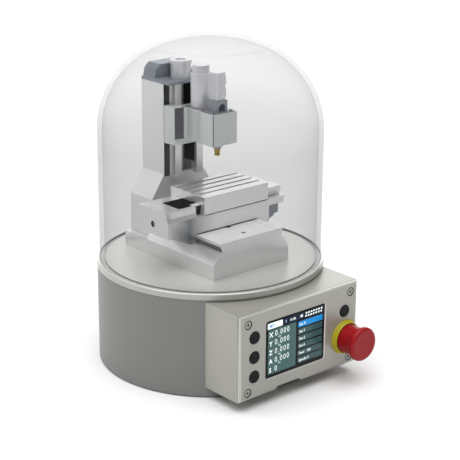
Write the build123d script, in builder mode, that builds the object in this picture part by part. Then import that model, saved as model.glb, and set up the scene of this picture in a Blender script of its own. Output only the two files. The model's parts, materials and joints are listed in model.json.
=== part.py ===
from build123d import *
import os
from math import atan2, degrees, hypot, sqrt

# A miniature desk-top milling machine. A three-axis mill stands on a round drum under a clear
# lift-off dome. A control box with a screen, push buttons and an emergency stop is fixed to the
# front of the drum. Millimetres. The origin is on the floor, on the axis of the drum. +Z is up
# and the control box faces -Y.

os.makedirs("parts", exist_ok=True)

# ---------------------------------------------------------------- driving dimensions
# enclosure
drum_radius = 112.5
drum_wall = 3.0
drum_height = 97.4
floor_pad_proud = 1.0
floor_pad_thickness = 2.0
floor_pad_radius = 104.0
floor_plate_thickness = 3.0
rim_radius = 113.0
rim_thickness = 6.0
dome_radius = 110.0
dome_wall = 5.0
dome_straight_height = 130.0
dome_knuckle_radius = 89.0
dome_crown_radius = 140.0
gasket_thickness = 1.0
dome_seat_depth = 2.5

# control box
box_half_width = 75.7
box_front_y = -132.0
box_floor_gap = 10.0
box_height = 85.5
box_wall = 3.0
box_edge_radius = 3.5
screen_center_x = -5.65
screen_center_height = 43.9
screen_width = 75.7
screen_height = 57.4
screen_glass_thickness = 1.6
screen_recess_depth = 2.0
display_width = 70.2
display_height = 52.3
button_radius = 6.0
button_proud = 1.2
button_travel = 1.5
panel_screw_x = 65.5
panel_screw_drop = 9.8
panel_screw_rise = 8.1
estop_x = 58.7
estop_height = 30.9
estop_cap_radius = 16.5
estop_cap_reach = 27.5
estop_travel = 4.5
estop_hole_radius = 11.15

# mill: base and cross slide
base_half_width = 47.8
base_front_y = -62.2
base_back_y = 77.3
slab_height = 14.8
way_top_half_width = 39.6
way_neck_half_width = 37.4
way_foot_half_width = 40.9
way_foot_height = 24.9
way_neck_height = 26.9
way_lip_height = 32.1
way_height = 35.0
saddle_front_y = -26.4
saddle_back_y = 19.0
saddle_half_length = 73.9
end_plate_thickness = 4.0
saddle_body_height = 17.45
deck_height = 9.4
deck_front_y = -24.3
deck_block_end_x = -38.3
x_screw_y = -3.2
x_screw_rise = 12.15
screw_radius = 3.0
table_length = 82.0
table_rest_left_x = -30.3
table_front_y = -27.4
table_back_y = 24.6
table_thickness = 7.9
t_slot_pitch = 11.0
t_slot_neck = 3.0
t_slot_width = 5.4

# mill: column, head and spindle
column_front_y = 41.9
column_half_width = 24.75
column_foot_half_width = 40.3
column_foot_height = 39.0
column_flare_height = 62.4
column_height = 153.3
rail_depth = 8.9
rail_front_half_width = 17.6
rail_root_half_width = 15.8
channel_half_width = 9.6
channel_depth = 12.1
z_screw_y = 46.0
head_front_y = -21.6
head_front_half_width = 14.9
head_waist_half_width = 12.9
head_rest_rise = 101.4
head_height = 31.2
wing_height = 37.5
wing_front_y = 25.0
spindle_y = -10.0
spindle_radius = 3.96
spindle_motor_y = 14.8
spindle_motor_radius = 10.0
collet_radius = 2.8
collet_bore_radius = 1.5875
collet_length = 7.0

# fits
running_gap = 0.35
press_gap = 0.05
shaft_gap = 0.05
loose_gap = 0.1

# ---------------------------------------------------------------- levels and places
drum_bottom = floor_pad_proud
drum_top = drum_bottom + drum_height
rim_top = drum_top + rim_thickness
floor_plate_bottom = floor_pad_thickness
floor_plate_top = floor_plate_bottom + floor_plate_thickness
seat_level = rim_top - dome_seat_depth
dome_bottom = seat_level + gasket_thickness
dome_shoulder = dome_bottom + dome_straight_height
box_bottom = drum_bottom + box_floor_gap
box_top = box_bottom + box_height
box_inner_y = box_front_y + box_wall

slab_top = rim_top + slab_height
way_foot = rim_top + way_foot_height
way_neck = rim_top + way_neck_height
way_lip = rim_top + way_lip_height
way_top = rim_top + way_height
saddle_bottom = way_foot + 1.6
saddle_ceiling = way_top + running_gap
ledge_level = saddle_ceiling + saddle_body_height
deck_top = ledge_level + deck_height
table_bottom = ledge_level + running_gap
table_ceiling = deck_top + running_gap
table_top = table_ceiling + table_thickness
table_right_x = table_rest_left_x + table_length
table_mid_x = table_rest_left_x + table_length / 2
table_mid_y = (table_front_y + table_back_y) / 2

column_top = slab_top + column_height
channel_bottom = slab_top + column_flare_height
head_bottom = slab_top + head_rest_rise
head_top = head_bottom + head_height
wing_bottom = head_top - wing_height


def facing_front(y):
    """A sketch plane square to Y, drawn in X and Z, whose extrusions grow towards -Y."""
    return Plane.XZ.offset(-y)


def facing_right(x):
    """A sketch plane square to X, drawn in Y and Z, whose extrusions grow towards +X."""
    return Plane.YZ.offset(x)


def level(z):
    """A horizontal sketch plane, drawn in X and Y, whose extrusions grow upwards."""
    return Plane.XY.offset(z)


def facing_out(turn, z):
    """An upright sketch plane on the drum's axis that faces out at a turn from +X."""
    outward = Vector(1, 0, 0).rotate(Axis.Z, turn)
    return Plane(origin=(0, 0, z), x_dir=outward.rotate(Axis.Z, 90), z_dir=outward)


def mirrored(points):
    """A closed outline from its right half, listed from bottom to top."""
    return points + [(-x, z) for x, z in reversed(points)]


def save(piece, label):
    piece.label = label
    export_step(piece, f"parts/{label}.step")


# ---------------------------------------------------------------- drum
with BuildPart() as base_pad:
    with BuildSketch(level(0)):
        Circle(floor_pad_radius)
    extrude(amount=floor_pad_thickness)
save(base_pad.part, "base_pad")

post_radius = 4.0
window_half_width = 57.0
window_bottom = box_bottom + 8
window_top = box_top - 10
rear_panel_half_width = 30.0
rear_panel_bottom = floor_plate_top + 12
rear_panel_height = 44.0
rear_panel_thickness = 2.0
drum_inner_radius = drum_radius - drum_wall
rear_panel_back_y = sqrt((drum_inner_radius - loose_gap) ** 2 - rear_panel_half_width ** 2)
rear_window_half_width = rear_panel_half_width - 6
vent_count = 9
vent_spacing = 7.0
vent_width = 2.6

with BuildPart() as drum_shell:
    with BuildSketch(level(drum_bottom)):
        Circle(drum_radius)
        Circle(drum_inner_radius, mode=Mode.SUBTRACT)
    extrude(amount=drum_height)
    # the opening behind the control box
    with BuildSketch(facing_front(-60)):
        with Locations((0, (window_bottom + window_top) / 2)):
            Rectangle(2 * window_half_width, window_top - window_bottom)
    extrude(amount=60, mode=Mode.SUBTRACT)
    # the rear window for the socket plate
    with BuildSketch(facing_front(130)):
        with Locations((0, rear_panel_bottom + rear_panel_height / 2)):
            Rectangle(2 * rear_window_half_width, rear_panel_height - 8)
    extrude(amount=60, mode=Mode.SUBTRACT)
    # vents, either side of the rear window
    for side in (-1, 1):
        for row in range(vent_count):
            turn = 90 + side * (28 + row * degrees(vent_spacing / drum_radius))
            with BuildSketch(facing_out(turn, drum_bottom + drum_height / 2)):
                SlotOverall(36, vent_width, rotation=90)
            extrude(amount=drum_radius + 5, mode=Mode.SUBTRACT)
save(drum_shell.part, "drum_shell")

with BuildPart() as floor_plate:
    with BuildSketch(level(floor_plate_bottom)):
        Circle(drum_inner_radius - loose_gap)
    extrude(amount=floor_plate_thickness)
save(floor_plate.part, "floor_plate")

base_bolt_radius = 2.5
base_bolt_grip = 9.0
base_bolt_places = [(-36, -50), (36, -50), (-36, 64), (36, 64)]
wire_hole_place = (24, 90)
wire_hole_radius = 6.0

with BuildPart() as rim_plate:
    with BuildSketch(level(drum_top)):
        Circle(rim_radius)
    extrude(amount=rim_thickness)
    chamfer(rim_plate.edges().group_by(Axis.Z)[-1], length=0.8)
    with BuildSketch(level(seat_level)):
        Circle(dome_radius + running_gap)
        Circle(dome_radius - dome_wall - running_gap, mode=Mode.SUBTRACT)
    extrude(amount=dome_seat_depth, mode=Mode.SUBTRACT)
    with BuildSketch(level(drum_top)):
        with Locations(*base_bolt_places):
            Circle(base_bolt_radius + 0.25)
        with Locations(wire_hole_place):
            Circle(wire_hole_radius)
    extrude(amount=rim_thickness, mode=Mode.SUBTRACT)
save(rim_plate.part, "rim_plate")

with BuildPart() as wire_grommet:
    with BuildSketch(level(drum_top - 1.5)):
        with Locations(wire_hole_place):
            Circle(wire_hole_radius - loose_gap)
            Circle(wire_hole_radius - 2.5, mode=Mode.SUBTRACT)
    extrude(amount=rim_thickness + 3)
    with BuildSketch(level(rim_top)):
        with Locations(wire_hole_place):
            Circle(wire_hole_radius + 1.5)
            Circle(wire_hole_radius - 2.5, mode=Mode.SUBTRACT)
    extrude(amount=1.5)
save(wire_grommet.part, "wire_grommet")

with BuildPart() as dome_gasket:
    with BuildSketch(level(seat_level)):
        Circle(dome_radius)
        Circle(dome_radius - dome_wall, mode=Mode.SUBTRACT)
    extrude(amount=gasket_thickness)
save(dome_gasket.part, "dome_gasket")

# the dome: a straight wall, a wide shoulder and a flatter crown, of one thickness all over
knuckle_x = dome_radius - dome_knuckle_radius
crown_drop = sqrt((dome_crown_radius - dome_knuckle_radius) ** 2 - knuckle_x ** 2)
crown_z = dome_shoulder - crown_drop
blend_turn = degrees(atan2(crown_drop, knuckle_x))
inner_radius = dome_radius - dome_wall

with BuildPart() as dome:
    with BuildSketch(Plane.XZ):
        with BuildLine():
            Line((inner_radius, dome_bottom), (dome_radius, dome_bottom))
            Line((dome_radius, dome_bottom), (dome_radius, dome_shoulder))
            CenterArc((knuckle_x, dome_shoulder), dome_knuckle_radius, 0, blend_turn)
            CenterArc((0, crown_z), dome_crown_radius, blend_turn, 90 - blend_turn)
            Line((0, crown_z + dome_crown_radius), (0, crown_z + dome_crown_radius - dome_wall))
            CenterArc((0, crown_z), dome_crown_radius - dome_wall, blend_turn, 90 - blend_turn)
            CenterArc((knuckle_x, dome_shoulder), dome_knuckle_radius - dome_wall, 0, blend_turn)
            Line((inner_radius, dome_shoulder), (inner_radius, dome_bottom))
        make_face()
    revolve(axis=Axis.Z)
save(dome.part, "dome")

# ---------------------------------------------------------------- control box
button_height_left = [61.5, 41.9, 22.6]
button_places = [(-57.8, box_bottom + h) for h in button_height_left] + [(58.0, box_bottom + 57.7)]
button_names = ["button_left_top", "button_left_middle", "button_left_bottom", "button_right"]
button_gap = 0.3
panel_screw_places = [
    (side * panel_screw_x, z)
    for side in (-1, 1)
    for z in (box_top - panel_screw_drop, box_bottom + panel_screw_rise)
]
panel_screw_radius = 2.0
panel_screw_head_radius = 4.0
panel_screw_length = 16.0
screen_center = (screen_center_x, box_bottom + screen_center_height)
estop_center = (estop_x, box_bottom + estop_height)
notch_depth = 4.5
notch_outline = [
    (-30.8, box_bottom - 1),
    (4.9, box_bottom - 1),
    (4.9, box_bottom),
    (-0.6, box_bottom + notch_depth),
    (-28.3, box_bottom + notch_depth),
    (-30.8, box_bottom),
]
notch_reach = 12.0

with BuildPart() as control_box:
    with BuildSketch(facing_front(-75)):
        with Locations((0, (box_bottom + box_top) / 2)):
            Rectangle(2 * box_half_width, box_height)
    extrude(amount=-75 - box_front_y)
    fillet(control_box.edges().group_by(Axis.Y)[0], radius=box_edge_radius)
    with BuildSketch(facing_front(-60)):
        with Locations((0, (box_bottom + box_top) / 2)):
            Rectangle(2 * (box_half_width - box_wall), box_height - 2 * box_wall)
    extrude(amount=-60 - box_inner_y, mode=Mode.SUBTRACT)
    # the wall behind the card notch
    with BuildSketch(facing_front(box_inner_y + notch_reach)):
        with Locations((-13, box_bottom + 4.5)):
            Rectangle(42, 8)
    extrude(amount=notch_reach)
    with BuildSketch(facing_front(box_front_y + notch_reach)):
        Polygon(*notch_outline)
    extrude(amount=notch_reach, mode=Mode.SUBTRACT)
    # the back edges follow the drum
    with BuildSketch(level(0)):
        Circle(drum_radius + loose_gap)
    extrude(amount=box_top + 5, mode=Mode.SUBTRACT)
    # the recess of the glass, and the display's window behind it
    with BuildSketch(facing_front(box_front_y + screen_recess_depth)):
        with Locations(screen_center):
            Rectangle(screen_width + 2 * loose_gap, screen_height + 2 * loose_gap)
    extrude(amount=screen_recess_depth, mode=Mode.SUBTRACT)
    with BuildSketch(facing_front(box_inner_y)):
        with Locations(screen_center):
            Rectangle(display_width + 1, display_height + 1)
    extrude(amount=box_wall, mode=Mode.SUBTRACT)
    # button, emergency stop and screw holes
    with BuildSketch(facing_front(box_inner_y)):
        with Locations(*button_places):
            Circle(button_radius + button_gap)
        with Locations(estop_center):
            Circle(estop_hole_radius)
        with Locations(*panel_screw_places):
            Circle(panel_screw_radius + 0.15)
    extrude(amount=box_wall, mode=Mode.SUBTRACT)
    with BuildSketch(facing_front(box_front_y)):
        with Locations(*panel_screw_places):
            Circle(panel_screw_head_radius + 0.35)
    extrude(amount=-(panel_screw_head_radius + 0.35 - panel_screw_radius), taper=45, mode=Mode.SUBTRACT)
save(control_box.part, "control_box")

with BuildPart() as screen_glass:
    with BuildSketch(facing_front(box_front_y + screen_recess_depth)):
        with Locations(screen_center):
            Rectangle(screen_width, screen_height)
    extrude(amount=screen_glass_thickness)
save(screen_glass.part, "screen_glass")

# the display: its panel lies on the inner face of the box, with its circuit board behind it
lcd_thickness = 3.0
board_thickness = 1.6
with BuildPart() as display_module:
    with BuildSketch(facing_front(box_inner_y + lcd_thickness)):
        with Locations(screen_center):
            Rectangle(display_width + 9, display_height + 9)
    extrude(amount=lcd_thickness)
    with BuildSketch(facing_front(box_inner_y + lcd_thickness + board_thickness)):
        with Locations(screen_center):
            Rectangle(display_width + 16, display_height + 10)
    extrude(amount=board_thickness)
save(display_module.part, "display_module")

# countersunk panel screws, and the posts that they hold on
with BuildPart() as panel_screws:
    for x, z in panel_screw_places:
        with BuildSketch(facing_front(box_front_y + panel_screw_length)):
            with Locations((x, z)):
                Circle(panel_screw_radius)
        extrude(amount=panel_screw_length - 0.2)
        with BuildSketch(facing_front(box_front_y + 0.2)) as head_face:
            with Locations((x, z)):
                Circle(panel_screw_head_radius)
        extrude(amount=-(panel_screw_head_radius - panel_screw_radius), taper=45)
        with BuildSketch(facing_front(box_front_y + 1.9)):
            with Locations((x, z)):
                RegularPolygon(radius=1.45, side_count=6)
        extrude(amount=2, mode=Mode.SUBTRACT)
save(panel_screws.part, "panel_screws")

with BuildPart() as box_posts:
    with BuildSketch(facing_front(-60)):
        with Locations(*panel_screw_places):
            RegularPolygon(radius=post_radius, side_count=6)
    extrude(amount=-60 - box_inner_y)
    with BuildSketch(level(0)):
        Circle(drum_radius)
    extrude(amount=box_top, mode=Mode.SUBTRACT)
    with BuildSketch(facing_front(box_front_y + panel_screw_length + 2)):
        with Locations(*panel_screw_places):
            Circle(panel_screw_radius + press_gap)
    extrude(amount=panel_screw_length, mode=Mode.SUBTRACT)
save(box_posts.part, "box_posts")

# push buttons: a cap, a flange that keeps it in the panel, and a stem onto its switch
button_flange_radius = 7.0
button_flange_gap = 0.4
button_flange_thickness = 1.2
button_stem_radius = 2.0
button_stem_length = 1.8
button_back_y = box_inner_y + button_flange_gap + button_flange_thickness + button_stem_length
switch_front_y = button_back_y + button_travel + 0.2
switch_depth = 3.4

for name, place in zip(button_names, button_places):
    with BuildPart() as button:
        with BuildSketch(facing_front(box_inner_y + button_flange_gap)):
            with Locations(place):
                Circle(button_radius)
        extrude(amount=box_wall + button_proud + button_flange_gap)
        chamfer(button.edges().group_by(Axis.Y)[0], length=0.5)
        with BuildSketch(facing_front(box_inner_y + button_flange_gap + button_flange_thickness)):
            with Locations(place):
                Circle(button_flange_radius)
        extrude(amount=button_flange_thickness)
        with BuildSketch(facing_front(button_back_y)):
            with Locations(place):
                Circle(button_stem_radius)
        extrude(amount=button_stem_length)
    save(button.part, name)

# the switch boards: one behind the three left buttons, one behind the right button
board_front_y = switch_front_y + switch_depth
left_x = button_places[0][0]
left_zs = [z for x, z in button_places[:3]]
right_x, right_z = button_places[3]
pillar_radius = 2.2
pillar_offset = button_flange_radius + pillar_radius + 0.5
left_pillars = [(left_x, (left_zs[0] + left_zs[1]) / 2), (left_x, (left_zs[1] + left_zs[2]) / 2)]
right_pillars = [(right_x, right_z - pillar_offset), (right_x, right_z + pillar_offset)]
with BuildPart() as switch_boards:
    with BuildSketch(facing_front(board_front_y + board_thickness)):
        with Locations((left_x, (left_zs[0] + left_zs[2]) / 2)):
            Rectangle(15, left_zs[0] - left_zs[2] + 16)
        with Locations((right_x, right_z)):
            Rectangle(15, 2 * (pillar_offset + pillar_radius))
    extrude(amount=board_thickness)
    with BuildSketch(facing_front(board_front_y)):
        with Locations(*button_places):
            Rectangle(6.2, 6.2)
    extrude(amount=switch_depth)
    with BuildSketch(facing_front(board_front_y)):
        with Locations(*left_pillars, *right_pillars):
            Circle(pillar_radius)
    extrude(amount=board_front_y - box_inner_y)
save(switch_boards.part, "switch_boards")

# emergency stop: yellow collar, barrel with its contact block, ring nut, plunger and cap
estop_axis = Axis((estop_center[0], 0, estop_center[1]), (0, -1, 0))
barrel_radius = estop_hole_radius - 0.15
collar_height = 7.0
collar_radius = 17.25
plunger_radius = 5.3
barrel_bore_radius = plunger_radius + shaft_gap
contact_block_size = 25.0
contact_block_depth = 13.0
barrel_back_y = box_front_y + 14
barrel_front_y = box_front_y - collar_height + 2
plunger_back_y = barrel_back_y - estop_travel + 1
plunger_front_y = box_front_y - 16.5

with BuildPart() as estop_collar:
    with BuildSketch(facing_front(box_front_y)):
        with Locations(estop_center):
            Circle(collar_radius)
    extrude(amount=collar_height, taper=20)
    with BuildSketch(facing_front(box_front_y)):
        with Locations(estop_center):
            Circle(barrel_radius + loose_gap)
    extrude(amount=collar_height, mode=Mode.SUBTRACT)
save(estop_collar.part, "estop_collar")

with BuildPart() as estop_body:
    with BuildSketch(facing_front(barrel_back_y)):
        with Locations(estop_center):
            Circle(barrel_radius)
    extrude(amount=barrel_back_y - barrel_front_y)
    with BuildSketch(facing_front(barrel_back_y + contact_block_depth)):
        with Locations(estop_center):
            Rectangle(contact_block_size, contact_block_size)
    extrude(amount=contact_block_depth)
    with BuildSketch(facing_front(barrel_back_y + 2)):
        with Locations(estop_center):
            Circle(barrel_bore_radius)
    extrude(amount=barrel_back_y + 2 - barrel_front_y, mode=Mode.SUBTRACT)
save(estop_body.part, "estop_body")

with BuildPart() as estop_nut:
    with BuildSketch(facing_front(box_inner_y + 5)):
        with Locations(estop_center):
            RegularPolygon(radius=14, side_count=6, rotation=30)
            Circle(barrel_radius + press_gap, mode=Mode.SUBTRACT)
    extrude(amount=5)
save(estop_nut.part, "estop_nut")

with BuildPart() as estop_plunger:
    with BuildSketch(facing_front(plunger_back_y)):
        with Locations(estop_center):
            Circle(plunger_radius)
    extrude(amount=plunger_back_y - plunger_front_y)
save(estop_plunger.part, "estop_plunger")

cap_back_y = box_front_y - 10
cap_front_y = box_front_y - estop_cap_reach
cap_neck_radius = 9.0
cap_profile = [
    (0, cap_front_y),
    (13.0, cap_front_y),
    (estop_cap_radius, cap_front_y + 3.2),
    (estop_cap_radius, cap_front_y + 5.4),
    (12.6, cap_front_y + 9.0),
    (11.8, cap_back_y - 4.5),
    (cap_neck_radius, cap_back_y - 3.5),
    (cap_neck_radius, cap_back_y),
    (0, cap_back_y),
]
with BuildPart() as estop_cap:
    with BuildSketch(Plane.XY.offset(estop_center[1])):
        Polygon(*[(estop_center[0] + r, y) for r, y in cap_profile])
    revolve(axis=estop_axis)
    with BuildSketch(facing_front(cap_back_y)):
        with Locations(estop_center):
            Circle(plunger_radius + shaft_gap)
    extrude(amount=cap_back_y - plunger_front_y + 0.3, mode=Mode.SUBTRACT)
save(estop_cap.part, "estop_cap")

# ---------------------------------------------------------------- inside the drum
with BuildPart() as rear_panel:
    with BuildSketch(facing_front(rear_panel_back_y)):
        with Locations((0, rear_panel_bottom + rear_panel_height / 2)):
            Rectangle(2 * rear_panel_half_width, rear_panel_height)
            Rectangle(28.2, 22.2, mode=Mode.SUBTRACT)
    extrude(amount=rear_panel_thickness)
save(rear_panel.part, "rear_panel")

inlet_z = rear_panel_bottom + rear_panel_height / 2
inlet_face_y = rear_panel_back_y + 2.4
with BuildPart() as power_inlet:
    with BuildSketch(facing_front(inlet_face_y)):
        with Locations((0, inlet_z)):
            Rectangle(40, 26)
            with Locations((-17, 0), (17, 0)):
                Circle(1.6, mode=Mode.SUBTRACT)
    extrude(amount=inlet_face_y - rear_panel_back_y)
    with BuildSketch(facing_front(rear_panel_back_y)):
        with Locations((0, inlet_z)):
            Rectangle(28, 22)
    extrude(amount=22)
    with BuildSketch(facing_front(inlet_face_y)):
        with Locations((0, inlet_z)):
            Rectangle(24, 16.5)
    extrude(amount=16, mode=Mode.SUBTRACT)
    with BuildSketch(facing_front(inlet_face_y - 6)):
        with Locations((-7, inlet_z - 2), (0, inlet_z + 2), (7, inlet_z - 2)):
            Rectangle(2, 4)
    extrude(amount=11)
save(power_inlet.part, "power_inlet")

supply_height = 38.0
with BuildPart() as power_supply:
    with BuildSketch(level(floor_plate_top)):
        with Locations((0, -38)):
            Rectangle(130, 62)
    extrude(amount=supply_height)
    fillet(power_supply.edges().filter_by(Axis.Z), radius=2)
save(power_supply.part, "power_supply")

board_center_y = 38.0
standoff_height = 8.0
standoff_places = [(x, board_center_y + y) for x in (-54, 54) for y in (-30, 30)]
with BuildPart() as board_standoffs:
    with BuildSketch(level(floor_plate_top)):
        with Locations(*standoff_places):
            RegularPolygon(radius=3.2, side_count=6)
    extrude(amount=standoff_height)
save(board_standoffs.part, "board_standoffs")

board_bottom = floor_plate_top + standoff_height
with BuildPart() as control_board:
    with BuildSketch(level(board_bottom)):
        with Locations((0, board_center_y)):
            Rectangle(118, 70)
    extrude(amount=board_thickness)
    with BuildSketch(level(board_bottom + board_thickness)):
        with Locations((-38, board_center_y)):
            Rectangle(20, 20)
        with Locations((-38, board_center_y + 26)):
            Rectangle(34, 8)
        with Locations((34, board_center_y - 24)):
            Circle(6)
    extrude(amount=6)
save(control_board.part, "control_board")

driver_width = 16.0
with BuildPart() as motor_drivers:
    for x in (-8, 14, 36):
        with BuildSketch(level(board_bottom + board_thickness)):
            with Locations((x, board_center_y + 10)):
                Rectangle(driver_width, 22)
        extrude(amount=5)
        with BuildSketch(level(board_bottom + board_thickness + 5)):
            with Locations((x, board_center_y + 10)):
                with GridLocations(3, 0, 4, 1):
                    Rectangle(1.2, 18)
        extrude(amount=8)
save(motor_drivers.part, "motor_drivers")

# ---------------------------------------------------------------- mill base and Y axis
y_screw_z = rim_top + 10.5
tunnel_half_width = 6.5
tunnel_bottom = y_screw_z - 5
tunnel_front_y = base_front_y + 5
slot_half_width = 3.0
slot_front_y = -29.5
slot_back_y = 22.0
y_nut_length = 8.0
y_nut_y = 0.0
motor_radius = 10.0

base_outline = mirrored([
    (base_half_width, rim_top),
    (base_half_width, slab_top),
    (way_foot_half_width, way_foot),
    (way_neck_half_width, way_neck),
    (way_top_half_width, way_lip),
    (way_top_half_width, way_top),
])
with BuildPart() as machine_base:
    with BuildSketch(facing_front(base_back_y)):
        Polygon(*base_outline)
    extrude(amount=base_back_y - base_front_y)
    # the column stands on the bare slab behind the ways
    with BuildSketch(level(slab_top)):
        with Locations((0, (column_front_y + base_back_y) / 2)):
            Rectangle(2 * base_half_width + 2, base_back_y - column_front_y)
    extrude(amount=way_height, mode=Mode.SUBTRACT)
    # the tunnel of the lead screw, roomy under the ways and low under the column
    with BuildSketch(level(tunnel_bottom)):
        with Locations((0, (tunnel_front_y + base_back_y) / 2)):
            Rectangle(2 * tunnel_half_width, base_back_y - tunnel_front_y)
    extrude(amount=slab_top - 1.2 - tunnel_bottom, mode=Mode.SUBTRACT)
    with BuildSketch(level(tunnel_bottom)):
        with Locations((0, (tunnel_front_y + column_front_y - 3) / 2)):
            Rectangle(2 * tunnel_half_width, column_front_y - 3 - tunnel_front_y)
    extrude(amount=way_top - 5 - tunnel_bottom, mode=Mode.SUBTRACT)
    # the slot that the nut's arm runs in, and an oiling hole in front of it
    with BuildSketch(level(way_top - 6)):
        with Locations((0, (slot_front_y + slot_back_y) / 2)):
            SlotOverall(slot_back_y - slot_front_y, 2 * slot_half_width, rotation=90)
        with Locations((0, -49.5)):
            Circle(2.4)
    extrude(amount=6, mode=Mode.SUBTRACT)
    # a scribed line beside the right-hand way
    with BuildSketch(level(way_top - 0.5)):
        with Locations((31.4, (base_front_y + column_front_y) / 2)):
            Rectangle(0.5, column_front_y - base_front_y)
    extrude(amount=0.5, mode=Mode.SUBTRACT)
    # the screw's front bearing and the bolt holes
    with BuildSketch(facing_front(tunnel_front_y)):
        with Locations((0, y_screw_z)):
            Circle(screw_radius + shaft_gap)
    extrude(amount=3.5, mode=Mode.SUBTRACT)
    with BuildSketch(level(rim_top)):
        with Locations(*base_bolt_places):
            Circle(base_bolt_radius + press_gap)
    extrude(amount=base_bolt_grip, mode=Mode.SUBTRACT)
save(machine_base.part, "machine_base")

with BuildPart() as base_bolts:
    with BuildSketch(level(drum_top)):
        with Locations(*base_bolt_places):
            Circle(base_bolt_radius)
    extrude(amount=rim_thickness + base_bolt_grip - 1)
    with BuildSketch(level(drum_top - 5)):
        with Locations(*base_bolt_places):
            Circle(4.25)
            RegularPolygon(radius=2.3, side_count=6, mode=Mode.SUBTRACT)
    extrude(amount=5)
save(base_bolts.part, "base_bolts")

with BuildPart() as y_screw:
    with BuildSketch(facing_front(base_back_y + 6)):
        with Locations((0, y_screw_z)):
            Circle(screw_radius)
    extrude(amount=base_back_y + 6 - (tunnel_front_y - 3))
save(y_screw.part, "y_screw")

with BuildPart() as y_motor:
    with BuildSketch(facing_front(base_back_y + 3)):
        with Locations((0, y_screw_z)):
            Rectangle(21, 20)
    extrude(amount=3)
    with BuildSketch(facing_front(base_back_y + 22)):
        with Locations((0, y_screw_z)):
            Circle(motor_radius)
    extrude(amount=19)
    with BuildSketch(facing_front(base_back_y + 7)):
        with Locations((0, y_screw_z)):
            Circle(screw_radius + shaft_gap)
    extrude(amount=7, mode=Mode.SUBTRACT)
save(y_motor.part, "y_motor")

# the nut on the Y screw, and the arm that carries the saddle with it
with BuildPart() as y_nut:
    with BuildSketch(facing_front(y_nut_y + y_nut_length / 2)):
        with Locations((0, y_screw_z)):
            Rectangle(2 * tunnel_half_width - 1.6, 9)
        with Locations((0, (y_screw_z + 4 + saddle_ceiling) / 2)):
            Rectangle(2 * slot_half_width - 1, saddle_ceiling - y_screw_z - 4)
    extrude(amount=y_nut_length)
    with BuildSketch(facing_front(y_nut_y + y_nut_length / 2)):
        with Locations((0, y_screw_z)):
            Circle(screw_radius + shaft_gap)
    extrude(amount=y_nut_length, mode=Mode.SUBTRACT)
save(y_nut.part, "y_nut")

# ---------------------------------------------------------------- saddle and X axis
saddle_left_x = -saddle_half_length + end_plate_thickness
saddle_tail_x = 54.5
jaw_outer_half_width = 46.2
jaw_outer_height = saddle_bottom + 10.7
saddle_outline = [
    (saddle_left_x, ledge_level),
    (saddle_left_x, jaw_outer_height),
    (-jaw_outer_half_width, saddle_bottom),
    (-way_foot_half_width + 1.4, saddle_bottom),
    (-way_neck_half_width - 0.65, way_neck + 0.65),
    (-way_top_half_width - running_gap, way_lip + 0.1),
    (-way_top_half_width - running_gap, saddle_ceiling),
    (way_top_half_width + running_gap, saddle_ceiling),
    (way_top_half_width + running_gap, way_lip + 0.1),
    (way_neck_half_width + 0.65, way_neck + 0.65),
    (way_foot_half_width - 1.4, saddle_bottom),
    (jaw_outer_half_width, saddle_bottom),
    (saddle_tail_x, saddle_bottom + 3.7),
    (saddle_tail_x, ledge_level),
]
tail_band_bottom = ledge_level - 7.2
tail_band_back_y = -21.0
x_screw_z = saddle_ceiling + x_screw_rise
x_way_front_y = table_front_y + 6.0
x_way_back_y = table_back_y - 6.0
x_way_neck = 1.4
pocket_front_y = -14.0
pocket_back_y = 7.0
pocket_wide_front_y = -19.2
pocket_left_x = -55.0
pocket_right_x = 49.0
pocket_bottom = saddle_ceiling + 5.2
x_motor_radius = 8.0
x_motor_face_x = 56.0
x_motor_back_x = saddle_half_length - 1.4

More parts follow.
